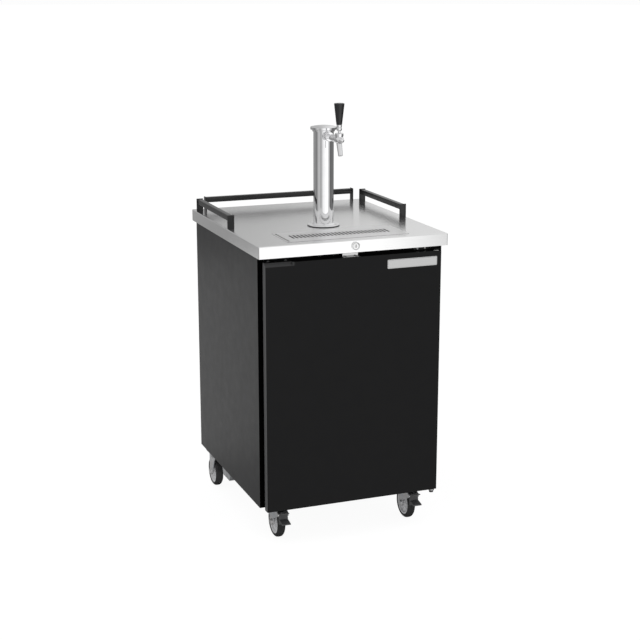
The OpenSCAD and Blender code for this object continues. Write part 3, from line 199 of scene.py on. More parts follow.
def grid_faces(rows, cols, loop_rows=False, loop_cols=False):
    """Quads between neighbours on a grid of points, closed end to end where asked."""
    i = np.arange(rows if loop_rows else rows - 1)
    j = np.arange(cols if loop_cols else cols - 1)
    i, j = np.meshgrid(i, j, indexing="ij")
    below, right = (i + 1) % rows, (j + 1) % cols
    corners = [i * cols + j, below * cols + j, below * cols + right, i * cols + right]
    return np.stack(corners, -1).reshape(-1, 4)


def skin(grid, loop_rows=False):
    """A grid's points and faces, closed along rows, and from last to first row if asked."""
    return grid, grid_faces(*grid.shape[:2], loop_rows, True)


def copies(points, faces, places, turn=np.eye(3)):
    """Repeats one shape: each copy is the points times a 3 x 3 turn, plus its place."""
    moved = points.reshape(-1, 3) @ turn.T + np.asarray(places, float)[:, None, :]
    shift = np.arange(len(places))[:, None, None] * moved.shape[1]
    return moved.reshape(-1, 3), (faces + shift).reshape(-1, faces.shape[1])


def merged(*shapes):
    """Joins shapes into one, which stays in separate shells."""
    counts = np.cumsum([0] + [points.size // 3 for points, _ in shapes])
    points = np.concatenate([points.reshape(-1, 3) for points, _ in shapes])
    return points, np.concatenate([faces + shift for (_, faces), shift in zip(shapes, counts)])


def turning(axis):
    """The 3 x 3 turn that takes local Z to the axis, with local Y as near upright as it can be."""
    z = np.asarray(axis, float)
    up = np.array([0, 0, 1.0]) if z[2] == 0 else np.array([0, 1.0, 0])
    x = np.cross(up, z)
    return np.stack([x, np.cross(z, x), z], 1)


def lathe(profile, turns):
    """Surface of revolution about Z: radius and height from the profile, angle over a full turn.

    The grid has one row for each profile point and one column for each angle."""
    profile = np.asarray(profile, float)
    return skin(polar(profile[:, :1], full_turn(turns), profile[:, 1:]))


def rounded(profile, radius, steps=5):
    """Softens the inner corners of an open profile: each is cut back and joined by a curve.

    A point on it blends the two cut points and the corner, weighted as a parabola."""
    most = 0.45
    profile = np.asarray(profile, float)
    before, corner, after = profile[:-2], profile[1:-1], profile[2:]
    back, on = before - corner, after - corner
    long_back = np.linalg.norm(back, axis=1, keepdims=True)
    long_on = np.linalg.norm(on, axis=1, keepdims=True)
    start = (corner + back * np.minimum(radius / long_back, most))[:, None]
    end = (corner + on * np.minimum(radius / long_on, most))[:, None]
    t = np.linspace(0, 1, steps)[None, :, None]
    curve = (1 - t) ** 2 * start + 2 * t * (1 - t) * corner[:, None] + t**2 * end
    return np.concatenate([profile[:1], curve.reshape(-1, 2), profile[-1:]])


def rings(boxes, corners, levels, steps=8):
    """Rounded rectangles as the rows of a grid, each with its box, corner radius and level.

    A box is (x0, y0, x1, y1). A point is its corner's centre plus the radius along the angle, so a
    square box twice as wide as the radius gives a circle."""
    x0, y0, x1, y1 = np.asarray(boxes, float).T[..., None]
    radius = np.asarray(corners, float)[:, None]
    angle = ((np.arange(4)[:, None] + np.linspace(0, 1, steps)) * np.pi / 2).reshape(-1)
    right = np.repeat([True, False, False, True], steps)
    far = np.repeat([True, True, False, False], steps)
    x = np.where(right, x1 - radius, x0 + radius) + radius * np.cos(angle)
    y = np.where(far, y1 - radius, y0 + radius) + radius * np.sin(angle)
    return np.stack([x, y, np.asarray(levels, float)[:, None] + 0 * x], -1)


def drawn_in(box, insets):
    """One rectangle (x0, y0, x1, y1) for each inset, drawn in by it on all sides."""
    return np.asarray(box, float) + np.asarray(insets, float)[:, None] * [1, 1, -1, -1]


def capped(grid):
    """Closes a grid's first and last rings with one ring more each, drawn in to its middle."""
    first, last = (np.broadcast_to(grid[k].mean(0), grid[:1].shape) for k in (0, -1))
    return np.concatenate([first, grid, last])


def placed(name, data):
    """Makes an object from its data and puts it in the scene."""
    made = bpy.data.objects.new(name, data)
    bpy.context.scene.collection.objects.link(made)
    return made


def sheet_of(name, shape, look):
    """Makes an object at the origin from arrays of points and faces."""
    points, faces = shape
    mesh = bpy.data.meshes.new(name)
    mesh.from_pydata(points.reshape(-1, 3).tolist(), [], faces.tolist())
    mesh.materials.append(look)
    return placed(name, mesh)


def new_piece(name, shape, look, body, smooth, instead=None):
    """Makes a piece that rides on a body, with closed seams and poles and faces outwards.

    Edges of more degrees than smooth stay sharp. It can be shown instead of a CAD node."""
    piece = sheet_of(name, shape, look)
    work = bmesh.new()
    work.from_mesh(piece.data)
    bmesh.ops.remove_doubles(work, verts=work.verts, dist=1e-6)
    bmesh.ops.dissolve_degenerate(work, edges=work.edges, dist=1e-7)
    bmesh.ops.recalc_face_normals(work, faces=work.faces)
    work.to_mesh(piece.data)
    work.free()
    piece.data.shade_smooth()
    piece.data.set_sharp_from_angle(angle=math.radians(smooth))
    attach(piece, body)
    if instead:
        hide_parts(instead)
    return piece


def brush_map(piece):
    """Lays a UV map: U is Y less height and V is X, so that U runs across brush lines along X."""
    mesh, lean = piece.data, 0.01
    points, corner = np.empty(3 * len(mesh.vertices)), np.empty(len(mesh.loops), int)
    mesh.vertices.foreach_get("co", points)
    mesh.loops.foreach_get("vertex_index", corner)
    x, y, z = points.reshape(-1, 3)[corner].T
    flat = np.stack([y - z, x + lean * y], 1).reshape(-1)
    mesh.uv_layers.new(name="brush").data.foreach_set("uv", flat)


# Materials


class Nodes:
    """A node tree, with short ways to add nodes and to link them."""

    def __init__(self, tree):
        self.tree = tree

    def add(self, kind, **values):
        """Adds a node. Capitalised values set its sockets, the others its own settings."""
        made = self.tree.nodes.new("ShaderNode" + kind)
        for key, value in values.items():
            if key[0].isupper():
                made.inputs[key.replace("_", " ")].default_value = value
            else:
                setattr(made, key, value)
        return made

    def join(self, source, target):
        """Links an output to an input."""
        self.tree.links.new(source, target)

    def run(self, source, kind, socket, output, **values):
        """Runs an output through a new node."""
        made = self.add(kind, **values)
        self.join(source, made.inputs[socket])
        return made.outputs[output]

    def maths(self, operation, first, second):
        """Works out one value from two."""
        made = self.add("Math", operation=operation)
        self.join(first, made.inputs[0])
        self.join(second, made.inputs[1])
        return made.outputs[0]

    def spread(self, value, low, high, start=0.3, end=0.7):
        """Maps a value to a range."""
        return self.run(
            value, "MapRange", "Value", "Result",
            From_Min=start, From_Max=end, To_Min=low, To_Max=high,
        )

    def ramp(self, value, stops, blend="LINEAR"):
        """Runs a value along stops, each a place and a colour."""
        made = self.add("ValToRGB")
        made.color_ramp.interpolation = blend
        while len(made.color_ramp.elements) < len(stops):
            made.color_ramp.elements.new(0.5)
        for element, (place, colour) in zip(made.color_ramp.elements, stops):
            element.position = place
            element.color = (*colour, 1)
        self.join(value, made.inputs["Fac"])
        return made.outputs["Color"]

    def mix(self, share, second):
        """Mixes a colour in by a share. Gives the other colour's input, and the output."""
        made = self.add("Mix", data_type="RGBA")
        self.join(share, made.inputs["Factor"])
        self.join(second, made.inputs["B"])
        return made.inputs["A"], made.outputs["Result"]


class Finish(Nodes):
    """A procedural material: one Principled shader, with a few nodes that feed it."""

    def __init__(self, name, **values):
        self.material = bpy.data.materials.new(name)
        self.material.use_nodes = True
        super().__init__(self.material.node_tree)
        self.shader = self.tree.nodes["Principled BSDF"]
        for key, value in values.items():
            self.shader.inputs[key.replace("_", " ")].default_value = value
        self.coords = self.add("TexCoord").outputs["Object"]

    def noise(self, lumps, detail=2.0, rough=0.5, stretch=WHITE):
        """Noise of so many lumps to a metre, stretched by a scale on each axis."""
        across = self.run(self.coords, "Mapping", "Vector", "Vector", Scale=stretch)
        return self.run(
            across, "TexNoise", "Vector", "Fac", Scale=lumps, Detail=detail, Roughness=rough,
        )

    def cells(self, count, output="Distance"):
        """Voronoi cells of so many to a metre."""
        return self.run(self.coords, "TexVoronoi", "Vector", output, Scale=count)

    def axis(self, letter):
        """One of the object coordinates."""
        return self.run(self.coords, "SeparateXYZ", "Vector", letter)

    def tint(self, value, low, high, start=0.3, end=0.7):
        """Runs a value between two colours."""
        return self.ramp(value, ((start, low), (end, high)))

    def feed(self, socket, output):
        """Links an output to one of the shader's sockets."""
        self.join(output, self.shader.inputs[socket])

    def mottle(self, noise, colour, dark, light):
        """Runs the base colour from a darker to a lighter shade."""
        shades = shade(colour, dark), shade(colour, light)
        self.feed("Base Color", self.tint(self.noise(*noise), *shades))

    def gloss(self, noise, low, high):
        """Runs the roughness between two values."""
        self.feed("Roughness", self.spread(self.noise(*noise), low, high))

    def bump(self, *layers):
        """Ends a finish with bumps, each a height, its depth in millimetres and its strength."""
        normal = None
        for height, depth, strength in layers:
            made = self.add("Bump", Strength=strength, Distance=depth * MM)
            self.join(height, made.inputs["Height"])
            if normal is not None:
                self.join(normal, made.inputs["Normal"])
            normal = made.outputs["Normal"]
        self.feed("Normal", normal)
        return self.material


def grey(value):
    """A colour without hue."""
    return (value, value, value)


def shade(colour, factor):
    """A colour made lighter or darker, in all or by a factor for each channel."""
    return np.minimum(1.0, np.multiply(tuple(colour), factor))


def stippled(f, grain, rough):
    """Gives a coat its fine stipple, faint waviness and a little wear in the gloss."""
    f.gloss((24, 5.0, 0.62), rough - 0.02, rough + 0.03)
    return f.bump((f.noise(grain, 2.0, 0.55), 0.06, 0.3), (f.noise(4, 1.0), 0.3, 0.08))


def coated(name, colour, grain, rough, shine=0.28):
    """Black coated sheet."""
    f = Finish(name, Specular_IOR_Level=shine)
    f.mottle((7, 4.0, 0.6), colour, 0.9, 1.1)
    return stippled(f, grain, rough)


def return_with_painted_shade(name, colour, grain, edge):
    """Coated side sheet with painted shade on its folded front return, ahead of the edge, where
    colour and gloss are turned nearly black.
    """
    f = Finish(name, Specular_IOR_Level=0.36)
    # Painted shade: the mask is 0 on the front return and 1 behind it
    side = f.spread(f.axis("Y"), 0, 1, edge, edge + SEAM)
    f.feed("Base Color", f.tint(side, shade(colour, 0.1), colour, 0.2, 0.8))
    f.feed("Specular Tint", f.tint(side, BLACK, WHITE, 0.2, 0.8))
    return stippled(f, grain, 0.42)


def coat_with_painted_highlights(name, colour, grain, edge, pull):
    """Coated door with painted highlights: a paler grey on its free edge and on a finger pull left
    of and above (x, z).
    """
    highlight_grey, part = (0.085, 0.085, 0.087), 0.45
    f = Finish(name, Specular_IOR_Level=0.12)
    x, z = f.axis("X"), f.axis("Z")
    # Painted highlights: masks for the finger pull and the free edge, which take the paler grey
    across = f.spread(x, 1, 0, pull[0] - 8 * MM, pull[0])
    grip = f.maths("MULTIPLY", across, f.spread(z, 0, 1, pull[1], pull[1] + 2 * MM))
    rim = f.spread(x, 1, 0, edge + 0.3 * MM, edge + 1.2 * MM)
    both = f.maths("MAXIMUM", f.spread(grip, 0, part, 0, 1), rim)
    f.feed("Base Color", f.tint(both, colour, highlight_grey, 0, 1))
    return stippled(f, grain, 0.44)


def brushed(name, colour, lines, along, rough, swept=0.0):
    """Brushed steel: long fine scratches along one axis.

    Its gloss can be swept across them by the brush map."""
    f = Finish(name, Metallic=1.0, Anisotropic=swept)
    if swept:
        tangent = f.add("Tangent", direction_type="UV_MAP", uv_map="brush")
        f.feed("Tangent", tangent.outputs["Tangent"])
    stretch = [1.0, 1.0, 1.0]
    stretch[along] = 0.012
    hair = (lines, 3.0, 0.7, stretch)
    f.mottle(hair, colour, 0.95, 1.04)
    f.gloss((6, 4.0, 0.6), rough - 0.015, rough + 0.02)
    return f.bump((f.noise(*hair), 0.02, 0.35), (f.noise(3.5, 1.0), 0.3, 0.06))


def steel_with_painted_shade(name, colour, letter, bright, dull):
    """Steel that is bright up to a level on one axis, and black with painted shade past a second
    one.
    """
    f = Finish(name)
    # Painted shade: the mask is 1 up to the first level and 0 past the second, and blackens colour,
    # metal and gloss
    unshaded = f.spread(f.axis(letter), 1, 0, bright, dull)
    f.feed("Base Color", f.tint(unshaded, shade(colour, 0.01), colour, 0.1, 0.9))
    f.feed("Metallic", unshaded)
    f.feed("Specular Tint", f.tint(unshaded, BLACK, WHITE, 0.1, 0.9))
    f.gloss((70, 5.0, 0.65), 0.29, 0.36)
    return f.bump((f.noise(900, 3.0, 0.6, (0.02, 1, 1)), 0.02, 0.4))


def polished(name, colour, rough=0.03):
    """Polished plating: nearly a mirror, with faint wiping marks and very slight waves."""
    f = Finish(name, Metallic=1.0)
    f.mottle((60, 3.0), colour, 0.97, 1.02)
    f.gloss((45, 6.0, 0.7), rough * 0.6, rough * 1.6)
    return f.bump((f.noise(28, 1.0), 0.2, 0.05))


def plated(name, colour, rough=0.34):
    """Zinc plated steel: dull metal with a faint change of hue."""
    cool, warm = (0.96, 0.99, 1.02), (1.02, 1.0, 0.97)
    f = Finish(name, Metallic=1.0)
    f.mottle((35, 3.0), colour, cool, warm)
    f.gloss((160, 5.0), rough - 0.07, rough + 0.1)
    return f.bump((f.noise(700), 0.04, 0.3))


def spangled(name, colour):
    """Galvanised sheet: crystals of zinc, each a little lighter or duller than the next."""
    f = Finish(name, Metallic=0.85)
    crystal = f.cells(110, "Color")
    f.feed("Base Color", f.tint(crystal, shade(colour, 0.78), shade(colour, 1.15), 0.1, 0.9))
    f.feed("Roughness", f.spread(crystal, 0.32, 0.54, 0, 1))
    return f.bump((f.noise(420, 3.0), 0.04, 0.25))


def moulded(name, colour, rough=0.42, grain=1300, shine=0.4):
    """Moulded plastic: a fine spark-eroded grain and slight flow marks."""
    f = Finish(name, Specular_IOR_Level=shine)
    f.mottle((26, 4.0), colour, 0.96, 1.04)
    f.gloss((90, 4.0), rough - 0.06, rough + 0.08)
    return f.bump((f.noise(grain), 0.05, 0.35))


def rubber(name, colour, rough=0.66):
    """Rubber: matt, with a bloom of grey and a fine moulded grain."""
    f = Finish(name, Specular_IOR_Level=0.3)
    f.mottle((48, 5.0, 0.65), colour, 0.75, 1.5)
    f.gloss((130, 4.0), rough - 0.08, rough + 0.12)
    return f.bump((f.noise(1500, 3.0), 0.08, 0.4))


def foamed(name):
    """Rigid foam: cream cells with darker skins between them."""
    cream, tan = (0.82, 0.70, 0.42), (0.55, 0.42, 0.20)
    f = Finish(name, Roughness=0.9)
    f.feed("Base Color", f.tint(f.cells(260), cream, tan, 0.1, 0.8))
    return f.bump((f.cells(260), 0.6, 0.5))


def paint(look, *names):
    """Gives CAD nodes a material in place of their own."""
    for name in names:
        slots = NODES[name].data.materials
        slots.clear()
        slots.append(look)


def soften(width, *names):
    """Rounds the sharp edges of CAD nodes with modifiers, so that they catch the light."""
    for name in names:
        weld = NODES[name].modifiers.new("weld", "WELD")
        weld.merge_threshold = 0.01 * MM
        bevel = NODES[name].modifiers.new("soft_edge", "BEVEL")
        bevel.width, bevel.segments = width, 2
        bevel.limit_method, bevel.angle_limit = "ANGLE", math.radians(40)
        bevel.harden_normals = True


# Pieces


class DISPENSER_OT_case(bpy.types.Operator):
    """Coats the cabinet, its frame and its hidden walls"""

    bl_idname = "dispenser.case"
    bl_label = "Cabinet finishes"

    def execute(self, context):
        s = context.scene.dispenser.case
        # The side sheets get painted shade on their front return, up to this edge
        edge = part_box("side_panel_left")[0][1] + SEAM
        coat = return_with_painted_shade("case_coat_painted_shade", s.coat, s.grain, edge)
        paint(coat, "side_panel_left", "side_panel_right")
        paint(coated("rear_coat", shade(s.coat, 1.6), s.grain, 0.55), "rear_panel")
        paint(coated("frame_coat", shade(s.coat, 0.3), s.grain, 0.7, 0.05), "front_frame")
        paint(coated("hinge_coat", s.coat, s.grain, 0.4, 0.3), "top_hinge_bracket")
        paint(spangled("galvanised_sheet", (0.46, 0.47, 0.48)), "base_pan", "condensate_pan")
        paint(brushed("liner_sheet", (0.62, 0.63, 0.64), 900, 2, 0.38), "inner_liner")
        paint(foamed("wall_foam"), "insulation", "door_foam")
        paint(rubber("grommet_rubber", grey(0.014)), "rear_grommets", "tower_gasket")
        paint(plated("hinge_zinc", grey(0.42)), "bottom_hinge_bracket", "caster_plates")
        return {"FINISHED"}


def folded_top(look):
    """Worktop: rings from the tray's recess over the top, round the fold, down and back beneath.

    The fold is a quarter circle between the flat top and the upright edge. The lock's hole is a
    square of cells taken out of both faces of the sheet, whose border is drawn in to a circle."""
    low, high = box_of("worktop")
    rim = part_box("drip_pan")
    sheet, fold, corner, lip, least = mm(1.2, 2.2, 3, 0.6, 0.1)
    overlap, reach, hole = mm(8, 12, 9.6)
    cells, steps = 8, 6
    outer = (*low[:2], *high[:2])
    recess = drawn_in((*rim[0][:2], *rim[1][:2]), [overlap]) - [TRAY_GAP, 0, 0, 0]
    lock_x, _, lock_z = middle("lock_barrel")
    top, across = high[2], np.linspace(-reach, reach, cells + 1)

    bend = np.linspace(0, np.pi / 2, 6)
    insets = np.concatenate([
        [fold + lip], fold * (1 - np.sin(bend)), [0], 0 * across,
        [0, sheet], 0 * across + sheet, [sheet],
    ])
    levels = np.concatenate([
        [top, top], top - fold * (1 - np.cos(bend)), [top - fold - lip], lock_z - across,
        [low[2], low[2]], lock_z + across, [top - sheet, top - sheet],
    ])
    boxes = np.concatenate([recess, drawn_in(outer, insets), recess])
    corners = np.concatenate([[corner], np.maximum(corner - insets, least), [corner]])
    grid = rings(boxes, corners, levels, steps)

    # Columns along the front, at the hole's cells
    start = 3 * steps
    left, right = grid[:, start - 1, None], grid[:, start, None]
    share = (lock_x + across - left[1, 0, 0]) / (right[1, 0, 0] - left[1, 0, 0])
    front = left + (right - left) * share[:, None]
    grid = np.concatenate([grid[:, :start], front, grid[:, start:]], 1)

    rows, cols = grid.shape[:2]
    face_row = 3 + len(bend)
    back_row = face_row + cells + 3
    keep = np.ones((rows, cols), bool)
    for row in (face_row, back_row):
        keep[row:row + cells, start:start + cells] = False
    faces = grid_faces(rows, cols, True, True)[keep.reshape(-1)]

    # The hole's border, from the front face through the sheet to its back
    run, last = np.arange(cells), np.full(cells, cells)
    i = np.concatenate([0 * run, run, last, cells - run])
    j = np.roll(i, -cells)
    face_edge = grid[face_row + i, start + j]
    back_edge = grid[back_row + cells - i, start + j]
    centre, depth = np.array([lock_x, 0, lock_z]), [0, 1, 0]
    spoke = (face_edge - centre) * [1, 0, 1]
    ring = centre + hole * spoke / np.linalg.norm(spoke, axis=1, keepdims=True)
    drill = [face_edge, ring + face_edge * depth, ring + back_edge * depth, back_edge]
    shape = merged((grid, faces), skin(np.stack(drill)))
    top = new_piece("folded_top", shape, look, "cabinet", 40, "worktop")
    brush_map(top)


def slotted_grille(look):
    """Grille: a row of like cells, each a rectangle of the plate drawn in to a round-ended slot.

    The cells share their side edges, and a plain block closes the row at each end."""
    low, high = box_of("drip_grille")
    pitch, wide, long, first = mm(12.4, 6.2, 51, -163)
    count, steps = 26, 7
    y = (low[1] + high[1]) / 2
    plate = (-pitch / 2, low[1], pitch / 2, high[1])
    slot = (-wide / 2, y - long / 2, wide / 2, y + long / 2)
    corners = [0, wide / 2, wide / 2, 0]
    grid = rings([plate, slot, slot, plate], corners, [high[2], high[2], low[2], low[2]], steps)
    keep = np.ones(grid.shape[:2], bool)
    keep[3] = False
    keep[3, [steps - 1, 3 * steps - 1]] = True
    faces = grid_faces(*grid.shape[:2], True, True)[keep.reshape(-1)]
    shapes = [copies(grid, faces, [(first + pitch * k, 0, 0) for k in range(count)])]
    sides = np.array([(0, 1, 3, 2), (0, 4, 5, 1), (2, 3, 7, 6), (1, 5, 7, 3), (0, 2, 6, 4)])
    row_end = first + pitch * (count - 0.5)
    for outer, inner in ((low[0], first - pitch / 2), (high[0], row_end)):
        block = np.meshgrid([outer, inner], *zip(low[1:], high[1:]), indexing="ij")
        shapes.append((np.stack(block, -1), sides))
    shape = merged(*shapes)
    new_piece("slotted_grille", shape, look, "grille", 30, "drip_grille")


def pressed_tray(look):
    """Drip tray: rings from the rim over the ledge and the well to the drain, and back outside.

    A ring is the rim's rectangle drawn in and lowered, or a circle about the drain."""
    low, high = box_of("drip_pan")
    sheet, rim, ledge, rest, deep = mm(0.8, 9, 7, 1.5, 24.8)
    edge, fold, sweep = mm(0.3, 0.5, 3)
    bore, tube, collar, step = mm(6.5, 8, 9.5, 1)
    spigot, drain_in = mm(29, 60)
    top, floor, foot = high[2], high[2] - deep, low[2] + spigot
    shelf, bed = top - rest, floor + sheet
    inner, well = rim + sheet, rim + sheet + ledge
    drain = np.array([high[0] - rim - drain_in, (low[1] + high[1]) / 2])
    # Inset, level, corner radius in millimetres, and 1 where the left side has the gap
    inside = np.array([
        (0, top - sheet, 6, 0), (0, top - edge, 6, 0), (edge, top, 6, 0),
        (inner - edge, top, 0.6, 1), (inner, top - edge, 0.3, 1), (inner, shelf, 0.3, 1),
        (well - fold, shelf, 4, 0), (well, shelf - fold, 4, 0), (well, bed + sweep, 4, 0),
        (well + 0.3 * sweep, bed + 0.3 * sweep, 3.5, 0), (well + sweep, bed, 3, 0),
    ])
    outside = np.array([
        (well - sheet, floor, 4, 0), (well - sheet, shelf - sheet, 4, 0),
        (rim, shelf - sheet, 0.5, 1), (rim, top - sheet, 0.5, 1),
    ])
    # Radius and level
    pipe = np.array([
        (bore, bed), (bore, low[2]), (tube, low[2]), (tube, foot - step),
        (tube - step, foot - step), (tube - step, foot), (collar, foot), (collar, floor),
    ])
    around = np.concatenate([drain, drain]) + pipe[:, :1] * [-1, -1, 1, 1]
    above, beneath = (
        drawn_in((*low[:2], *high[:2]), side[:, 0]) - side[:, 3:] * [TRAY_GAP, 0, 0, 0]
        for side in (inside, outside)
    )
    corners = np.concatenate([inside[:, 2] * MM, pipe[:, 0], outside[:, 2] * MM])
    levels = np.concatenate([inside[:, 1], pipe[:, 1], outside[:, 1]])
    shape = skin(rings(np.concatenate([above, around, beneath]), corners, levels), True)
    new_piece("pressed_tray", shape, look, "cabinet", 40, "drip_pan")


class DISPENSER_OT_worktop(bpy.types.Operator):
    """Makes the worktop, the drip tray and the grille"""

    bl_idname = "dispenser.worktop"
    bl_label = "Worktop"

    def execute(self, context):
        s = context.scene.dispenser.case
        folded_top(brushed("worktop_brushed", s.steel, s.brush, 0, 0.17, 0.8))
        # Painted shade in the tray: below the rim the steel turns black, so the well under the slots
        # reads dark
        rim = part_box("drip_pan")[1][2]
        pressed_tray(steel_with_painted_shade("tray_steel", s.steel, "Z", rim - 0.3 * MM, rim - 0.5 * MM))
        slotted_grille(brushed("grille_brushed", s.steel, s.brush, 0, 0.29))
        return {"FINISHED"}


def gallery_rail(s, node, look):
    """Rail: a bar between two flat posts, each a rounded rectangle carried along its length.

    It is worked out as (across, along, up), and swapped for the rail that runs along X."""
    low, high = box_of(node)
    order = [1, 0, 2] if high[0] - low[0] > high[1] - low[1] else [0, 1, 2]
    (a0, b0, z0), (a1, b1, z1) = low[order], high[order]
    plate, soft, drop, tip, edge = mm(4, 0.7, 1.5, 0.2, 1.2)
    grids = []
    for start in (b0, b1 - plate):
        boxes = drawn_in((a0, start, a1, start + plate), [0, 0, soft])
        grids.append(capped(rings(boxes, [soft, soft, tip], [z0, z1 - soft, z1], 4)))
    mid, half, top = (a0 + a1) / 2, s.bar_width / 2, z1 - drop
    section = [(mid - half, top - s.bar_height, mid + half, top)] * 2
    bar = rings(section, [edge, edge], [b0 + plate / 2, b1 - plate / 2], 4)
    grids.append(capped(bar)[..., [0, 2, 1]])
    shape = merged(*(skin(grid[..., order]) for grid in grids))
    new_piece("gallery_" + node, shape, look, "cabinet", 40, node)


class DISPENSER_OT_rails(bpy.types.Operator):
    """Makes the three gallery rails"""

    bl_idname = "dispenser.rails"
    bl_label = "Rails"

    def execute(self, context):
        s = context.scene.dispenser.case
        satin = coated("rail_satin", shade(s.coat, 0.7), 900, 0.22, 0.42)
        for node in ("rail_left", "rail_right", "rail_rear"):
            gallery_rail(s, node, satin)
        return {"FINISHED"}


def turned(s, node, profile, foot):
    """Turns a profile of (radius, height) about the upright through a node."""
    x, y, _ = middle(node)
    points, faces = lathe(profile, s.turns)
    return points + [x, y, foot], faces


def crowned_cap(s, chrome):
    """Tower cap: a skirt in the tube, a square rim and a crown of one minus the radius squared."""
    low, high = box_of("tower_cap")
    rim, neck, skirt, shell = (high[0] - low[0]) / 2, 37 * MM, 35 * MM, 2 * MM
    seat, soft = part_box("tower_column")[1][2] - low[2], 0.9 * MM
    foot, tall, crown = seat + 1.8 * MM, seat + 9.6 * MM, 4.8 * MM
    share = np.linspace(0.97, 0, 24)
    dome = np.stack([rim * share, tall + crown * (1 - share**2)], 1)
    edge = [(skirt, seat), (neck, seat), (neck, foot), (rim, foot), (rim, tall), dome[0]]
    bore, roof = skirt - shell, seat + shell
    inside = [(0, roof), (bore, roof), (bore, 0), (skirt, 0)]
    profile = np.concatenate([inside, rounded(edge, soft), dome])
    shape = turned(s, "tower_cap", profile, low[2])
    new_piece("crowned_cap", shape, chrome, "cabinet", 30, "tower_cap")


def tap_collar(s, chrome):
    """Handle collar: a ring round the lever's stud, with a chamfered foot and one groove."""
    low, high = box_of("tap_ferrule")
    wall, tall = (high[0] - low[0]) / 2, high[2] - low[2] + GRIP_LIFT
    bore, chamfer, rise, soft = mm(4.75, 2, 4, 0.4)
    cut, groove, top = mm(0.9, 9, 11.9)
    ring = [
        (bore, 0), (wall - chamfer, 0), (wall, rise), (wall, groove),
        (wall - cut, groove + cut), (wall - cut, top - cut), (wall, top),
        (wall, tall), (bore, tall), (bore, 0),
    ]
    shape = turned(s, "tap_ferrule", rounded(ring, soft), low[2])
    new_piece("tap_collar", shape, chrome, "tap", 30, "tap_ferrule")


def tap_grip(s):
    """Handle: a straight cone that widens upwards, with a softened foot and a slight dome."""
    low, high = box_of("tap_handle")
    top, tall = (high[0] - low[0]) / 2, high[2] - low[2] - GRIP_LIFT
    foot, bevel, soft = mm(8.75, 0.8, 0.9)
    outline = [
        (0, 0), (foot - bevel, 0), (foot, bevel), (top - 0.2 * MM, tall - 1.6 * MM),
        (top - 1.4 * MM, tall - 0.4 * MM), (0, tall),
    ]
    shape = turned(s, "tap_handle", rounded(outline, soft), low[2] + GRIP_LIFT)
    black = moulded("grip_black", s.grip, 0.3, 1500, 0.5)
    new_piece("tap_grip", shape, black, "tap", 40, "tap_handle")


def lock_bezel(s):
    """Lock bezel: turned about the lock's axis, with a lip that slopes in to the barrel's face."""
    low, high = box_of("lock_barrel")
    lip, deep = (high[0] - low[0]) / 2, high[1] - low[1]
    plug, barrel, seat, face, soft = mm(6.05, 9.5, 4, 0.9, 0.25)
    ring = [
        (plug, deep), (plug, face), (barrel - 0.7 * MM, face), (barrel - 0.5 * MM, 3.2 * MM),
        (lip - 1.2 * MM, 0), (lip, 0), (lip, seat), (barrel, seat), (barrel, deep), (plug, deep),
    ]
    points, faces = lathe(rounded(ring, soft, 4), s.turns)
    x, _, z = middle("lock_barrel")
    points = points[..., [0, 2, 1]] + [x, low[1], z]
    bright = polished("lock_chrome", grey(0.82), 0.12)
    shape = points, faces
    new_piece("lock_bezel", shape, bright, "cabinet", 30, "lock_barrel")


class DISPENSER_OT_tower(bpy.types.Operator):
    """Polishes the tower and the tap, and turns their cap, collar, handle and the lock's bezel"""

    bl_idname = "dispenser.tower"
    bl_label = "Tower and tap"

    def execute(self, context):
        s = context.scene.dispenser.tap
        chrome = polished("tower_chrome", s.chrome)
        paint(chrome, "tower_column", "beer_shank", "faucet_coupling", "faucet_body")
        paint(chrome, "faucet_bonnet", "tap_lever")
        paint(polished("nut_brass", (0.62, 0.47, 0.20), 0.2), "shank_nut", "tap_plunger")
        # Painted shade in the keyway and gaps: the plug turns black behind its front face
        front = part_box("lock_plug")[0][1]
        plug = steel_with_painted_shade("lock_face_painted_shade", grey(0.8), "Y", front + 0.2 * MM, front + 0.5 * MM)
        paint(plug, "lock_plug")
        paint(plated("cam_zinc", grey(0.5), 0.3), "lock_cam")
        crowned_cap(s, chrome)
        tap_collar(s, chrome)
        tap_grip(s)
        lock_bezel(s)
        return {"FINISHED"}


def bare_plate(s):
    """Bare plate: rounded rings stepped up to a rim and down to a flat field."""
    low, high = box_of("name_plate")
    tall, thick = high[2] - low[2], high[1] - low[1]
    rim, step, least = s.plate_rim, 0.3 * MM, 0.05 * MM
    insets = np.array([0, 0, step / 2, 0.35 * MM, rim - step, rim, rim + step, 0.3 * tall])
    levels = np.array([0, 0.7, 0.92, 1, 1, 0.8, 0.6, 0.6]) * thick
    boxes = drawn_in((low[0], low[2], high[0], high[2]), insets)
    grid = capped(rings(boxes, np.maximum(s.plate_corner - insets, least), levels))
    shape = skin(np.stack([grid[..., 0], high[1] - grid[..., 2], grid[..., 1]], -1))
    metal = brushed("plate_brushed", grey(0.5), 3000, 0, 0.26)
    new_piece("bare_plate", shape, metal, "door", 24, "name_plate")


def door_bellows(s):
    """Bellows gasket: a closed lobed profile, carried round the door's four mitred corners."""
    low, high = box_of("door_gasket")
    # One side of the profile from its foot, as shares of the width and the depth
    lobes = np.array([
        (0.10, 0), (0.02, 0.16), (0, 0.28), (0.06, 0.40), (0.15, 0.50), (0.06, 0.60), (0, 0.74),
        (0.03, 0.90), (0.12, 1),
    ])
    far = [1, 0] + lobes[::-1] * [-1, 1]
    profile = np.concatenate([lobes, [(0.5, 0.985)], far, [(0.5, 0)]])
    inset, depth = (profile * [18 * MM, high[1] - low[1]]).T
    x = np.array([low[0] + inset, high[0] - inset, high[0] - inset, low[0] + inset])
    z = np.array([low[2] + inset, low[2] + inset, high[2] - inset, high[2] - inset])
    shape = skin(np.stack([x, low[1] + depth + 0 * x, z], -1), True)
    black = rubber("gasket_black", s.gasket, 0.55)
    new_piece("door_bellows", shape, black, "door", 50, "door_gasket")


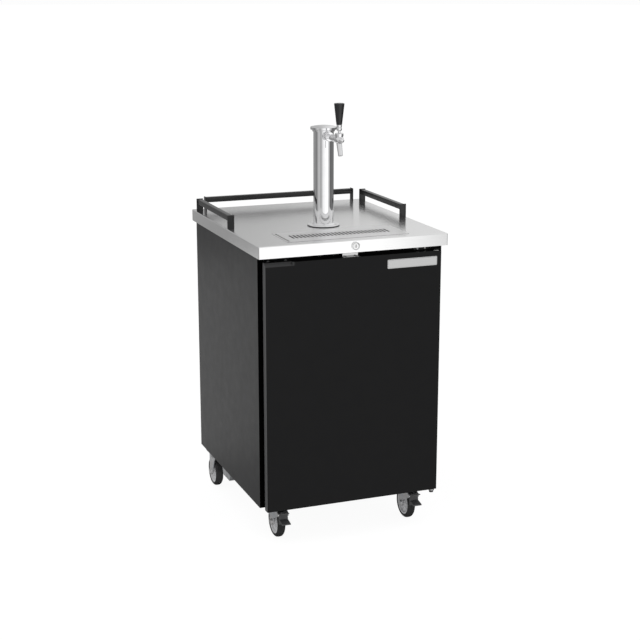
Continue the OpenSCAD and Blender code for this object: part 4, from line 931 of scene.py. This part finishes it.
class DISPENSER_OT_door(bpy.types.Operator):
    """Coats the door and makes its gasket and its bare plate"""

    bl_idname = "dispenser.door"
    bl_label = "Door"

    def execute(self, context):
        s, case = context.scene.dispenser.door, context.scene.dispenser.case
        low, high = box_of("door_skin")
        # The door coat has painted highlights on its free edge and finger pull
        pull = (low[0] + 94 * MM, high[2] - 12 * MM)
        paint(coat_with_painted_highlights("door_coat_painted_highlights", shade(case.coat, 0.7), case.grain, low[0], pull), "door_skin")
        soften(0.8 * MM, "door_skin", "door_strike")
        paint(moulded("door_back", (0.55, 0.55, 0.56), 0.4), "door_liner")
        paint(moulded("bush_nylon", (0.78, 0.78, 0.75), 0.5), "hinge_bushes")
        paint(polished("strike_chrome", grey(0.5), 0.1), "door_strike")
        bare_plate(s)
        door_bellows(s)
        return {"FINISHED"}


def screw_head(*size):
    """Domed screw head of a radius and height with a cross recess, on a polar grid.

    The height is a flat dome; it drops where the point lies within either bar of a cross."""
    radius, height = mm(*size)
    flat, deep, slope = 0.9, 0.55 * height, 1.6
    bar, reach = 0.14 * radius, 0.6 * radius
    share = np.concatenate([np.linspace(0, 0.62, 10), np.linspace(0.7, 1.0, 5)])[:, None]
    grid = polar(radius * share, full_turn(48), height * np.sqrt(1 - flat * share**2))
    wide, tall = np.abs(grid[..., 0]), np.abs(grid[..., 1])
    first, second = np.maximum(wide / bar, tall / reach), np.maximum(tall / bar, wide / reach)
    grid[..., 2] -= deep * np.clip(slope - np.minimum(first, second), 0, 1)
    skirt = grid[-1:] * [1, 1, 0]
    return skin(np.concatenate([grid, skirt, 0 * skirt]))


def bolt_head(*size):
    """Hexagon head: its radius is the half width over the cosine of the angle off a flat."""
    flats, height = mm(*size)
    angle, crown = full_turn(48), 1.1
    hexagon = flats / 2 / np.cos((angle % (np.pi / 3)) - np.pi / 6)
    share = np.array([0, 0.78, 0.9, 1.0, 1.0, 0])[:, None]
    level = np.array([1, 1, 0.98, 0.84, 0, 0])[:, None] * height
    radius = np.where(share < 0.85, share * flats / 2 * crown, share * hexagon)
    return skin(polar(radius, angle, level))


def fix(name, head, places, axis, look, body="cabinet"):
    """Sets one kind of fastener at many places, all along one axis."""
    new_piece(name, copies(*head, places, turning(axis)), look, body, 28)


def hinge_screws(zinc, black):
    """Screws of the top hinge and in two spare holes, bolts of the lower hinge and its nut."""
    low, _ = box_of("top_hinge_bracket")
    face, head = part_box("front_frame")[0][1], screw_head(4, 2.2)
    z, drop, leg = low[2] + 19 * MM, 6 * MM, 4 * MM
    places = [(low[0] + x * MM, face - leg, z) for x in (12, 37)]
    fix("hinge_screws", head, places, FRONT, zinc)
    dull = plated("screw_dull", grey(0.16), 0.4)
    fix("spare_screws", head, [(x, face, z - drop) for x in SPARE_X], FRONT, dull)

    low, high = box_of("bottom_hinge_bracket")
    pin = 9 * MM
    y, base = high[1] - 12 * MM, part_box("base_pan")[0][2] - leg
    places = [(low[0] + x * MM, y, base) for x in (10, 32)]
    fix("lower_hinge_bolts", bolt_head(13, 8), places, DOWN, black)
    place = (high[0] - pin, low[1] + pin, low[2])
    fix("pivot_nut", bolt_head(13, 7), [place], DOWN, black)


def strike_screws(black):
    """Two screws in the strike's foot."""
    low, high = box_of("door_strike")
    mid, half, y, foot = (low[0] + high[0]) / 2, 17 * MM, low[1] + 6 * MM, low[2] + 1.5 * MM
    places = [(mid + x, y, foot) for x in (-half, half)]
    fix("strike_screws", screw_head(3.2, 1.6), places, UP, black, "door")


def flange_screws():
    """Four screws on a circle in the tower's flange."""
    x, y, _ = middle("tower_column")
    top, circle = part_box("tower_column")[0][2] + 3 * MM, 43.5 * MM
    places = polar(circle, np.radians([45, 135, 225, 315]), top) + [x, y, 0]
    bright, head = polished("screw_bright", grey(0.8), 0.12), screw_head(3.6, 1.8)
    fix("flange_screws", head, places, UP, bright)


def panel_screws(black):
    """Screws round the rear panel's edge."""
    low, high = box_of("rear_panel")
    back, edge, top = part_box("side_panel_left")[1][1], 9 * MM, 46 * MM
    xs = np.linspace(low[0] + edge, high[0] - edge, 5)
    zs = np.linspace(low[2] + edge, high[2] - top, 6)
    places = [(x, back, z) for x in xs for z in (zs[0], zs[-1])]
    places += [(x, back, z) for x in (xs[0], xs[-1]) for z in zs[1:-1]]
    head = screw_head(3.8, 2)
    fix("rear_panel_screws", head, places, BACK, black)


def cover_screws(black):
    """Screws at the cooling cover's corners, on the face that the thermostat knob stands off."""
    (x0, _, z0), (x1, _, z1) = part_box("evaporator_cover")
    face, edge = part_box("thermostat_knob")[1][1] + 0.4 * MM, 12 * MM
    places = [(x, face, z) for x in (x0 + edge, x1 - edge) for z in (z0 + edge, z1 - edge)]
    fix("cover_screws", screw_head(3.4, 1.8), places, FRONT, black)


def caster_bolts(zinc):
    """Four bolts in each caster plate, heads down."""
    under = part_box("caster_plates")[1][2] - 4 * MM
    offset, half_x, half_y = mm(6, 21, 35)
    places = []
    for corner in CORNERS:
        x = middle("caster_fork_" + corner)[0]
        y = (SWIVEL_Y + offset) * (1 if "rear" in corner else -1)
        around = [(i, j) for i in (-half_x, half_x) for j in (-half_y, half_y)]
        places += [(x + i, y + j, under) for i, j in around]
    fix("caster_bolts", bolt_head(10, 4), places, DOWN, zinc)


class DISPENSER_OT_fasteners(bpy.types.Operator):
    """Sets the screws and bolts that show"""

    bl_idname = "dispenser.fasteners"
    bl_label = "Fasteners"

    def execute(self, context):
        zinc = plated("screw_zinc", (0.68, 0.68, 0.67), 0.26)
        black = moulded("screw_black", grey(0.012), 0.4)
        hinge_screws(zinc, black)
        strike_screws(black)
        flange_screws()
        panel_screws(black)
        cover_screws(black)
        caster_bolts(zinc)
        return {"FINISHED"}


def on_axle(name, corner, node, shape, look, smooth):
    """Makes a wheel's piece from a shape, whose Z becomes the axle through a node's middle."""
    points, faces = shape
    shape = points @ turning(AXLE).T + middle(node), faces
    new_piece(name + node, shape, look, "wheel_" + corner, smooth, node)


def treaded_tyre(s, corner, look):
    """Tyre: a rounded section turned about the axle, with the crown cut back in two grooves.

    The groove's depth is a narrow bell of the distance across the tread from its middle."""
    node = "tyre_" + corner
    low, high = box_of(node)
    half, outer, inner = (high[0] - low[0]) / 2, (high[2] - low[2]) / 2, 39 * MM
    fall, power, groove_at, groove_wide = 7.5 * MM, 3.4, 0.3, 0.05
    across = np.linspace(-1, 1, 49)
    crown = outer - fall * np.abs(across) ** power
    crown -= s.groove * np.exp(-(((np.abs(across) - groove_at) / groove_wide) ** 2))
    tread = np.stack([crown, across * half], 1)
    wall = np.array([
        (inner, 2 * MM - half), (inner + 1.2 * MM, 0.6 * MM - half), (inner + 3 * MM, -half),
    ])
    profile = np.concatenate([wall, tread, wall[::-1] * [1, -1], wall[:1]])
    on_axle("treaded_", corner, node, lathe(profile, 96), look, 40)


def ribbed_core(s, corner, look):
    """Core: a dished disc turned about the axle, whose web rises into ribs.

    A rib's height is a power of the cosine of angle times count, faded out at both ends."""
    node = "wheel_hub_" + corner
    low, high = box_of(node)
    half, rim = (high[0] - low[0]) / 2, (high[2] - low[2]) / 2
    bore, hub, soft, turns = 5.05 * MM, 13 * MM, 1.2 * MM, 96
    rise, fade, end = mm(3.2, 3, 6)
    face = rounded([
        (bore, half), (hub - 3 * MM, half), (hub, half - 1.5 * MM), (hub + 2 * MM, 5.5 * MM),
        (rim - 8 * MM, 5 * MM), (rim - 5 * MM, half - 2.6 * MM), (rim - 4 * MM, half - 2 * MM),
        (rim, half - 2 * MM),
    ], soft)
    profile = np.concatenate([face, face[::-1] * [1, -1], face[:1]])
    points, faces = lathe(profile, turns)
    radius = profile[:, :1]
    inward, outward = (radius - hub) / fade, (rim - end - radius) / fade
    wave = np.clip(np.cos(full_turn(turns)[None] * s.ribs), 0, 1) ** 3
    rib = rise * np.clip(inward, 0, 1) * np.clip(outward, 0, 1) * wave
    points[..., 2] += np.sign(profile[:, 1:]) * rib
    on_axle("ribbed_", corner, node, (points, faces), look, 30)


class DISPENSER_OT_wheels(bpy.types.Operator):
    """Makes the tyres and wheel cores, and finishes the forks and pedals"""

    bl_idname = "dispenser.wheels"
    bl_label = "Casters"

    def execute(self, context):
        s = context.scene.dispenser.wheels
        black = rubber("tyre_rubber", s.tyre)
        pale = moulded("core_grey", s.core, 0.45, 1100)
        fork = plated("fork_zinc", (0.68, 0.68, 0.69), 0.42)
        pedal = moulded("pedal_dark", (0.05, 0.05, 0.052), 0.45)
        paint(fork, *("caster_fork_" + corner for corner in CORNERS))
        paint(pedal, "brake_pedal_front_left", "brake_pedal_front_right")
        for corner in CORNERS:
            treaded_tyre(s, corner, black)
            ribbed_core(s, corner, pale)
        return {"FINISHED"}


class DISPENSER_OT_cooling(bpy.types.Operator):
    """Finishes the cooling parts"""

    bl_idname = "dispenser.cooling"
    bl_label = "Cooling finishes"

    def execute(self, context):
        paint(coated("can_enamel", (0.010, 0.010, 0.011), 500, 0.3, 0.5), "compressor")
        paint(plated("coil_metal", (0.55, 0.54, 0.52), 0.4), "condenser")
        paint(moulded("cover_white", grey(0.72)), "evaporator_cover")
        fan = moulded("fan_plastic", (0.015, 0.015, 0.016), 0.4)
        paint(fan, "evaporator_fan", "condenser_fan")
        paint(moulded("knob_plastic", (0.012, 0.012, 0.013), 0.35), "thermostat_knob")
        return {"FINISHED"}


def pale_floor(s):
    """Floor: a flat square grid under the wheels, wide enough to reach the horizon.

    Backdrop: an upright circle within the camera's reach, which only the camera sees."""
    span = np.linspace(-120, 120, 3)
    x, y = np.meshgrid(span, span, indexing="ij")
    flat = np.stack([x, y, 0 * x], -1), grid_faces(3, 3)
    floor = screen("floor", flat, (0.10, 0.12), s.floor)
    floor.visible_glossy = False
    round_wall = lathe([(60, -1), (60, 50)], 96)
    backdrop = screen("backdrop", round_wall, (0, 0), 0.98)
    backdrop.visible_glossy = backdrop.visible_diffuse = backdrop.visible_shadow = False


def screen(name, shape, greys, glow):
    """A glowing matt sheet that belongs to the studio."""
    f = Finish(
        name + "_pale", Roughness=0.9, Specular_IOR_Level=0.0,
        Emission_Color=(*WHITE, 1), Emission_Strength=glow,
    )
    f.feed("Base Color", f.tint(f.noise(0.6), *map(grey, greys)))
    sheet = sheet_of(name, shape, f.material)
    return sheet


def surround(scene):
    """Soft surround: brightness follows the direction's turn about the upright.

    It has one ring for level directions, which goes dark far below, and one for those above."""
    scene.world = world = bpy.data.worlds.new("studio")
    world.use_nodes = True
    nodes = Nodes(world.node_tree)
    parts = nodes.add("SeparateXYZ")
    nodes.join(nodes.add("TexCoord").outputs["Generated"], parts.inputs["Vector"])
    x, y, height = parts.outputs
    turn = nodes.maths("ARCTAN2", x, nodes.spread(y, 1, -1, -1, 1))
    share = nodes.spread(turn, 0, 1, -math.pi, math.pi)
    ring, sky = (
        nodes.ramp(share, [(place, grey(value)) for place, value in stops], "EASE")
        for stops in (RING, SKY)
    )
    dark, dimmed = nodes.mix(nodes.spread(height, 0, 1, -0.75, -0.45), ring)
    dark.default_value = (*grey(0.06), 1)
    level, both = nodes.mix(nodes.spread(height, 0, 1, -0.05, 0.18), sky)
    nodes.join(dimmed, level)
    nodes.join(both, world.node_tree.nodes["Background"].inputs["Color"])


def soft_light(name, place, target, size, power, mirrored=False):
    """A soft square light, turned to a point, which shows in gloss only if it is mirrored."""
    data = bpy.data.lights.new(name, "AREA")
    data.size, data.energy = size, power
    lamp = placed(name, data)
    lamp.location = place
    lamp.rotation_euler = (Vector(target) - Vector(place)).to_track_quat("-Z", "Y").to_euler()
    lamp.visible_glossy, lamp.visible_camera = mirrored, False


class DISPENSER_OT_stage(bpy.types.Operator):
    """Sets the pale floor, the soft lights and the camera"""

    bl_idname = "dispenser.stage"
    bl_label = "Studio"

    def execute(self, context):
        s, scene = context.scene.dispenser.stage, context.scene
        scene.view_settings.view_transform = "Standard"
        pale_floor(s)
        surround(scene)
        soft_light("top_softbox", (-0.6, -0.5, 3.4), (0, 0, 0.9), 3.2, 30)
        soft_light("front_softbox", (0.9, -3.4, 1.5), (0, 0, 0.8), 2.4, 14)
        soft_light("left_softbox", (-3.6, 0.8, 1.7), (0, 0, 0.6), 2.2, 14)
        soft_light("rear_glow", (-0.66, 1.0, 0.22), (-0.3, 0.1, 0.4), 0.8, 0.66, True)
        camera = scene.camera = placed("camera", bpy.data.cameras.new("camera"))
        camera.data.sensor_width, camera.data.lens = 36, s.lens
        camera.location = s.camera
        camera.rotation_euler = (math.pi / 2 - s.elevation, 0, s.azimuth)
        return {"FINISHED"}


class DispenserSettings(bpy.types.PropertyGroup):
    """All the dispenser's values."""

    case: PointerProperty(type=CaseSettings)
    tap: PointerProperty(type=TapSettings)
    door: PointerProperty(type=DoorSettings)
    wheels: PointerProperty(type=WheelSettings)
    stage: PointerProperty(type=StageSettings)


OPERATORS = (
    DISPENSER_OT_case, DISPENSER_OT_worktop, DISPENSER_OT_rails, DISPENSER_OT_tower,
    DISPENSER_OT_door, DISPENSER_OT_fasteners, DISPENSER_OT_wheels, DISPENSER_OT_cooling,
    DISPENSER_OT_stage,
)


class DISPENSER_PT_panel(bpy.types.Panel):
    """Lists the dispenser's operators"""

    bl_idname = "DISPENSER_PT_panel"
    bl_label = "Dispenser"
    bl_space_type = "VIEW_3D"
    bl_region_type = "UI"
    bl_category = "Dispenser"

    def draw(self, context):
        for operator in OPERATORS:
            self.layout.operator(operator.bl_idname)


CLASSES = (
    CaseSettings, TapSettings, DoorSettings, WheelSettings, StageSettings, DispenserSettings,
    *OPERATORS, DISPENSER_PT_panel,
)


def register():
    """Registers the classes and the scene's values."""
    for cls in CLASSES:
        bpy.utils.register_class(cls)
    bpy.types.Scene.dispenser = PointerProperty(type=DispenserSettings)


def unregister():
    """Takes the values and the classes away again."""
    del bpy.types.Scene.dispenser
    for cls in reversed(CLASSES):
        bpy.utils.unregister_class(cls)


def main():
    """Dresses the part in order."""
    register()
    bpy.ops.dispenser.case()
    bpy.ops.dispenser.worktop()
    bpy.ops.dispenser.rails()
    bpy.ops.dispenser.tower()
    bpy.ops.dispenser.door()
    bpy.ops.dispenser.fasteners()
    bpy.ops.dispenser.wheels()
    bpy.ops.dispenser.cooling()
    bpy.ops.dispenser.stage()


if __name__ == "__main__":
    main()
